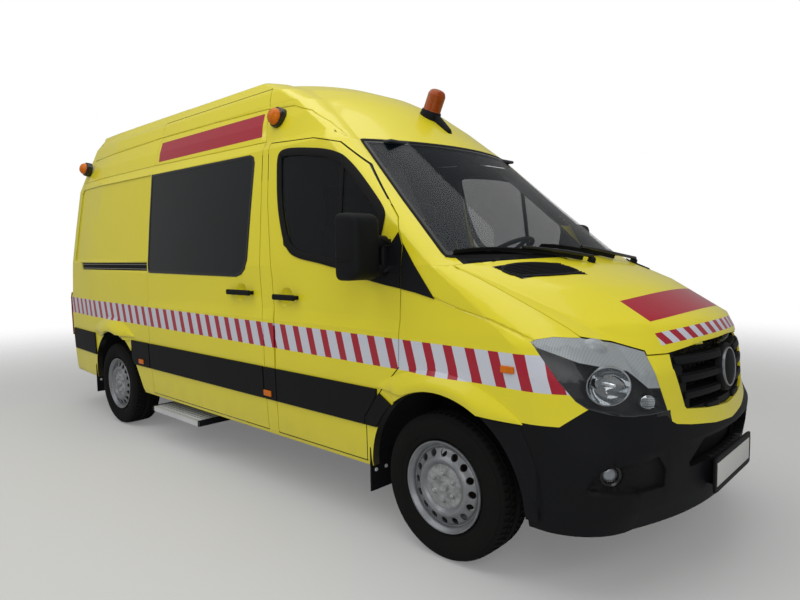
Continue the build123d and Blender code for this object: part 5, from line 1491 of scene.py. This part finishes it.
WHEEL_TILT = math.radians(28)
STEERING_RADIUS, GRIP_RADIUS = 0.1775, 0.0150
STEERING_HUB = [(0.0, 0.004), (0.045, 0.000), (0.070, -0.012), (0.076, -0.026), (0.060, -0.046),
                (0.0, -0.050)]
DIAL_HOOD = [(0.0, 0.06), (0.10, 0.055), (0.155, 0.03), (0.165, -0.05)]
# The driver's and the passenger's seats stand this far from the middle
SEAT_Y = 0.400


class VAN_OT_cab(Operator):
    """Furnish the cab: steering wheel, dials' hood, vents, visors and mirror"""
    bl_idname = "van.cab"
    bl_label = "Cab"

    def execute(self, context):
        axis = Vector((-math.sin(WHEEL_TILT), 0, math.cos(WHEEL_TILT)))
        centre = spot(-0.520, SEAT_Y, 1.465)
        section = [(STEERING_RADIUS + GRIP_RADIUS * math.cos(turn), GRIP_RADIUS * math.sin(turn))
                   for turn in turns(12)]
        ring = lathe("steering_ring", section, centre, axis, 64, closed=True)
        hub = lathe("steering_hub", STEERING_HUB, centre, axis, 40)
        across = Vector((0, 1, 0))
        out = axis.cross(across).normalized()
        spokes = [tube("spoke", [centre - axis * 0.022, centre + way * 0.176], 0.013)
                  for way in (across, -across, out, -out)]
        wheel = joined("steering_wheel_rim", ring, hub, *spokes)
        done(wheel, "grey_plastic", "steering_wheel", ("steering_wheel",))
        done(lathe("dial_hood", DIAL_HOOD, spot(-0.235, SEAT_Y, 1.405), (0, 0, 1), 40), "grey_plastic")
        vents = [block("vent", spot(-0.438, y - 0.045, z), spot(-0.428, y + 0.045, z + 0.007), 0.002)
                 for y in (-0.78, -0.06, 0.10, 0.78) for z in (1.300, 1.316, 1.332, 1.348)]
        done(joined("dash_vents", *vents), "gloss_black")
        glass = block("inside_mirror", spot(-0.560, -0.115, 1.955), spot(-0.530, 0.115, 2.020), 0.012, 3)
        stalk = tube("mirror_stalk", [spot(-0.535, 0, 2.015), spot(-0.500, 0, 2.060)], 0.006)
        done(joined("inside_mirror_set", glass, stalk), "black_plastic")
        for side, sign in SIDES:
            y = sign * SEAT_Y
            visor = block("visor_" + side, spot(-0.790, y - 0.23, 2.085), spot(-0.620, y + 0.23, 2.105),
                          0.008, 3)
            done(visor, "grey_plastic")
        return {"FINISHED"}


# The padded parts of a seat: back and front from the front axle, half width, lower and upper height
SEAT_PARTS = {"base": (-1.322, -0.838, 0.235, 0.925, 1.048),
              "back": (-1.326, -1.224, 0.225, 1.060, 1.640),
              "rest": (-1.316, -1.232, 0.118, 1.668, 1.836)}


class VAN_OT_seats(Operator):
    """Cover the seats with padded cushions, their seams and head rests"""
    bl_idname = "van.seats"
    bl_label = "Seats"

    def execute(self, context):
        for side, sign in SIDES:
            y = sign * SEAT_Y
            for name, (rear, front, half, foot, top) in SEAT_PARTS.items():
                low, high = spot(rear, y - half, foot), spot(front, y + half, top)
                cushion = block(f"seat_{name}_{side}", low, high, 0.030, 3)
                crown(cushion, low, high)
                stands_for = ("seat_cushions",) if (name, side) == ("base", "right") else ()
                done(cushion, "seat_fabric", "body", stands_for, 60)
                done(piping(f"seat_{name}_welt_{side}", low, high, name == "base"), "rubber")
        return {"FINISHED"}


class VAN_PT_sidebar(Panel):
    """The van's steps, in the order they are taken"""
    bl_idname = "VAN_PT_sidebar"
    bl_label = "Ambulance van"
    bl_space_type = "VIEW_3D"
    bl_region_type = "UI"
    bl_category = "Ambulance"

    def draw(self, context):
        for step in STEPS:
            self.layout.operator(step.bl_idname)
        for group, _ in GROUPS:
            box = self.layout.box()
            settings = getattr(context.scene, group)
            for name in settings.__annotations__:
                box.prop(settings, name)


STEPS = (VAN_OT_finishes, VAN_OT_panels, VAN_OT_gaskets, VAN_OT_wheels, VAN_OT_headlamps,
         VAN_OT_fog_lamps, VAN_OT_nose, VAN_OT_mirrors, VAN_OT_roof_lamps, VAN_OT_scuttle, VAN_OT_sides,
         VAN_OT_tail, VAN_OT_cab, VAN_OT_seats, VAN_OT_stage)
GROUPS = (("van_livery", LiverySettings), ("van_colours", ColourSettings), ("van_wheels", WheelSettings),
          ("van_stage", StageSettings))
CLASSES = (*(settings for _, settings in GROUPS), *STEPS, VAN_PT_sidebar)


def register():
    for group in CLASSES:
        bpy.utils.register_class(group)
    for name, settings in GROUPS:
        setattr(bpy.types.Scene, name, PointerProperty(type=settings))


def unregister():
    for name, _ in GROUPS:
        delattr(bpy.types.Scene, name)
    for group in reversed(CLASSES):
        bpy.utils.unregister_class(group)


def main():
    """Take every step in order."""
    register()
    for step in STEPS:
        area, name = step.bl_idname.split(".")
        getattr(getattr(bpy.ops, area), name)()


if __name__ == "__main__":
    main()
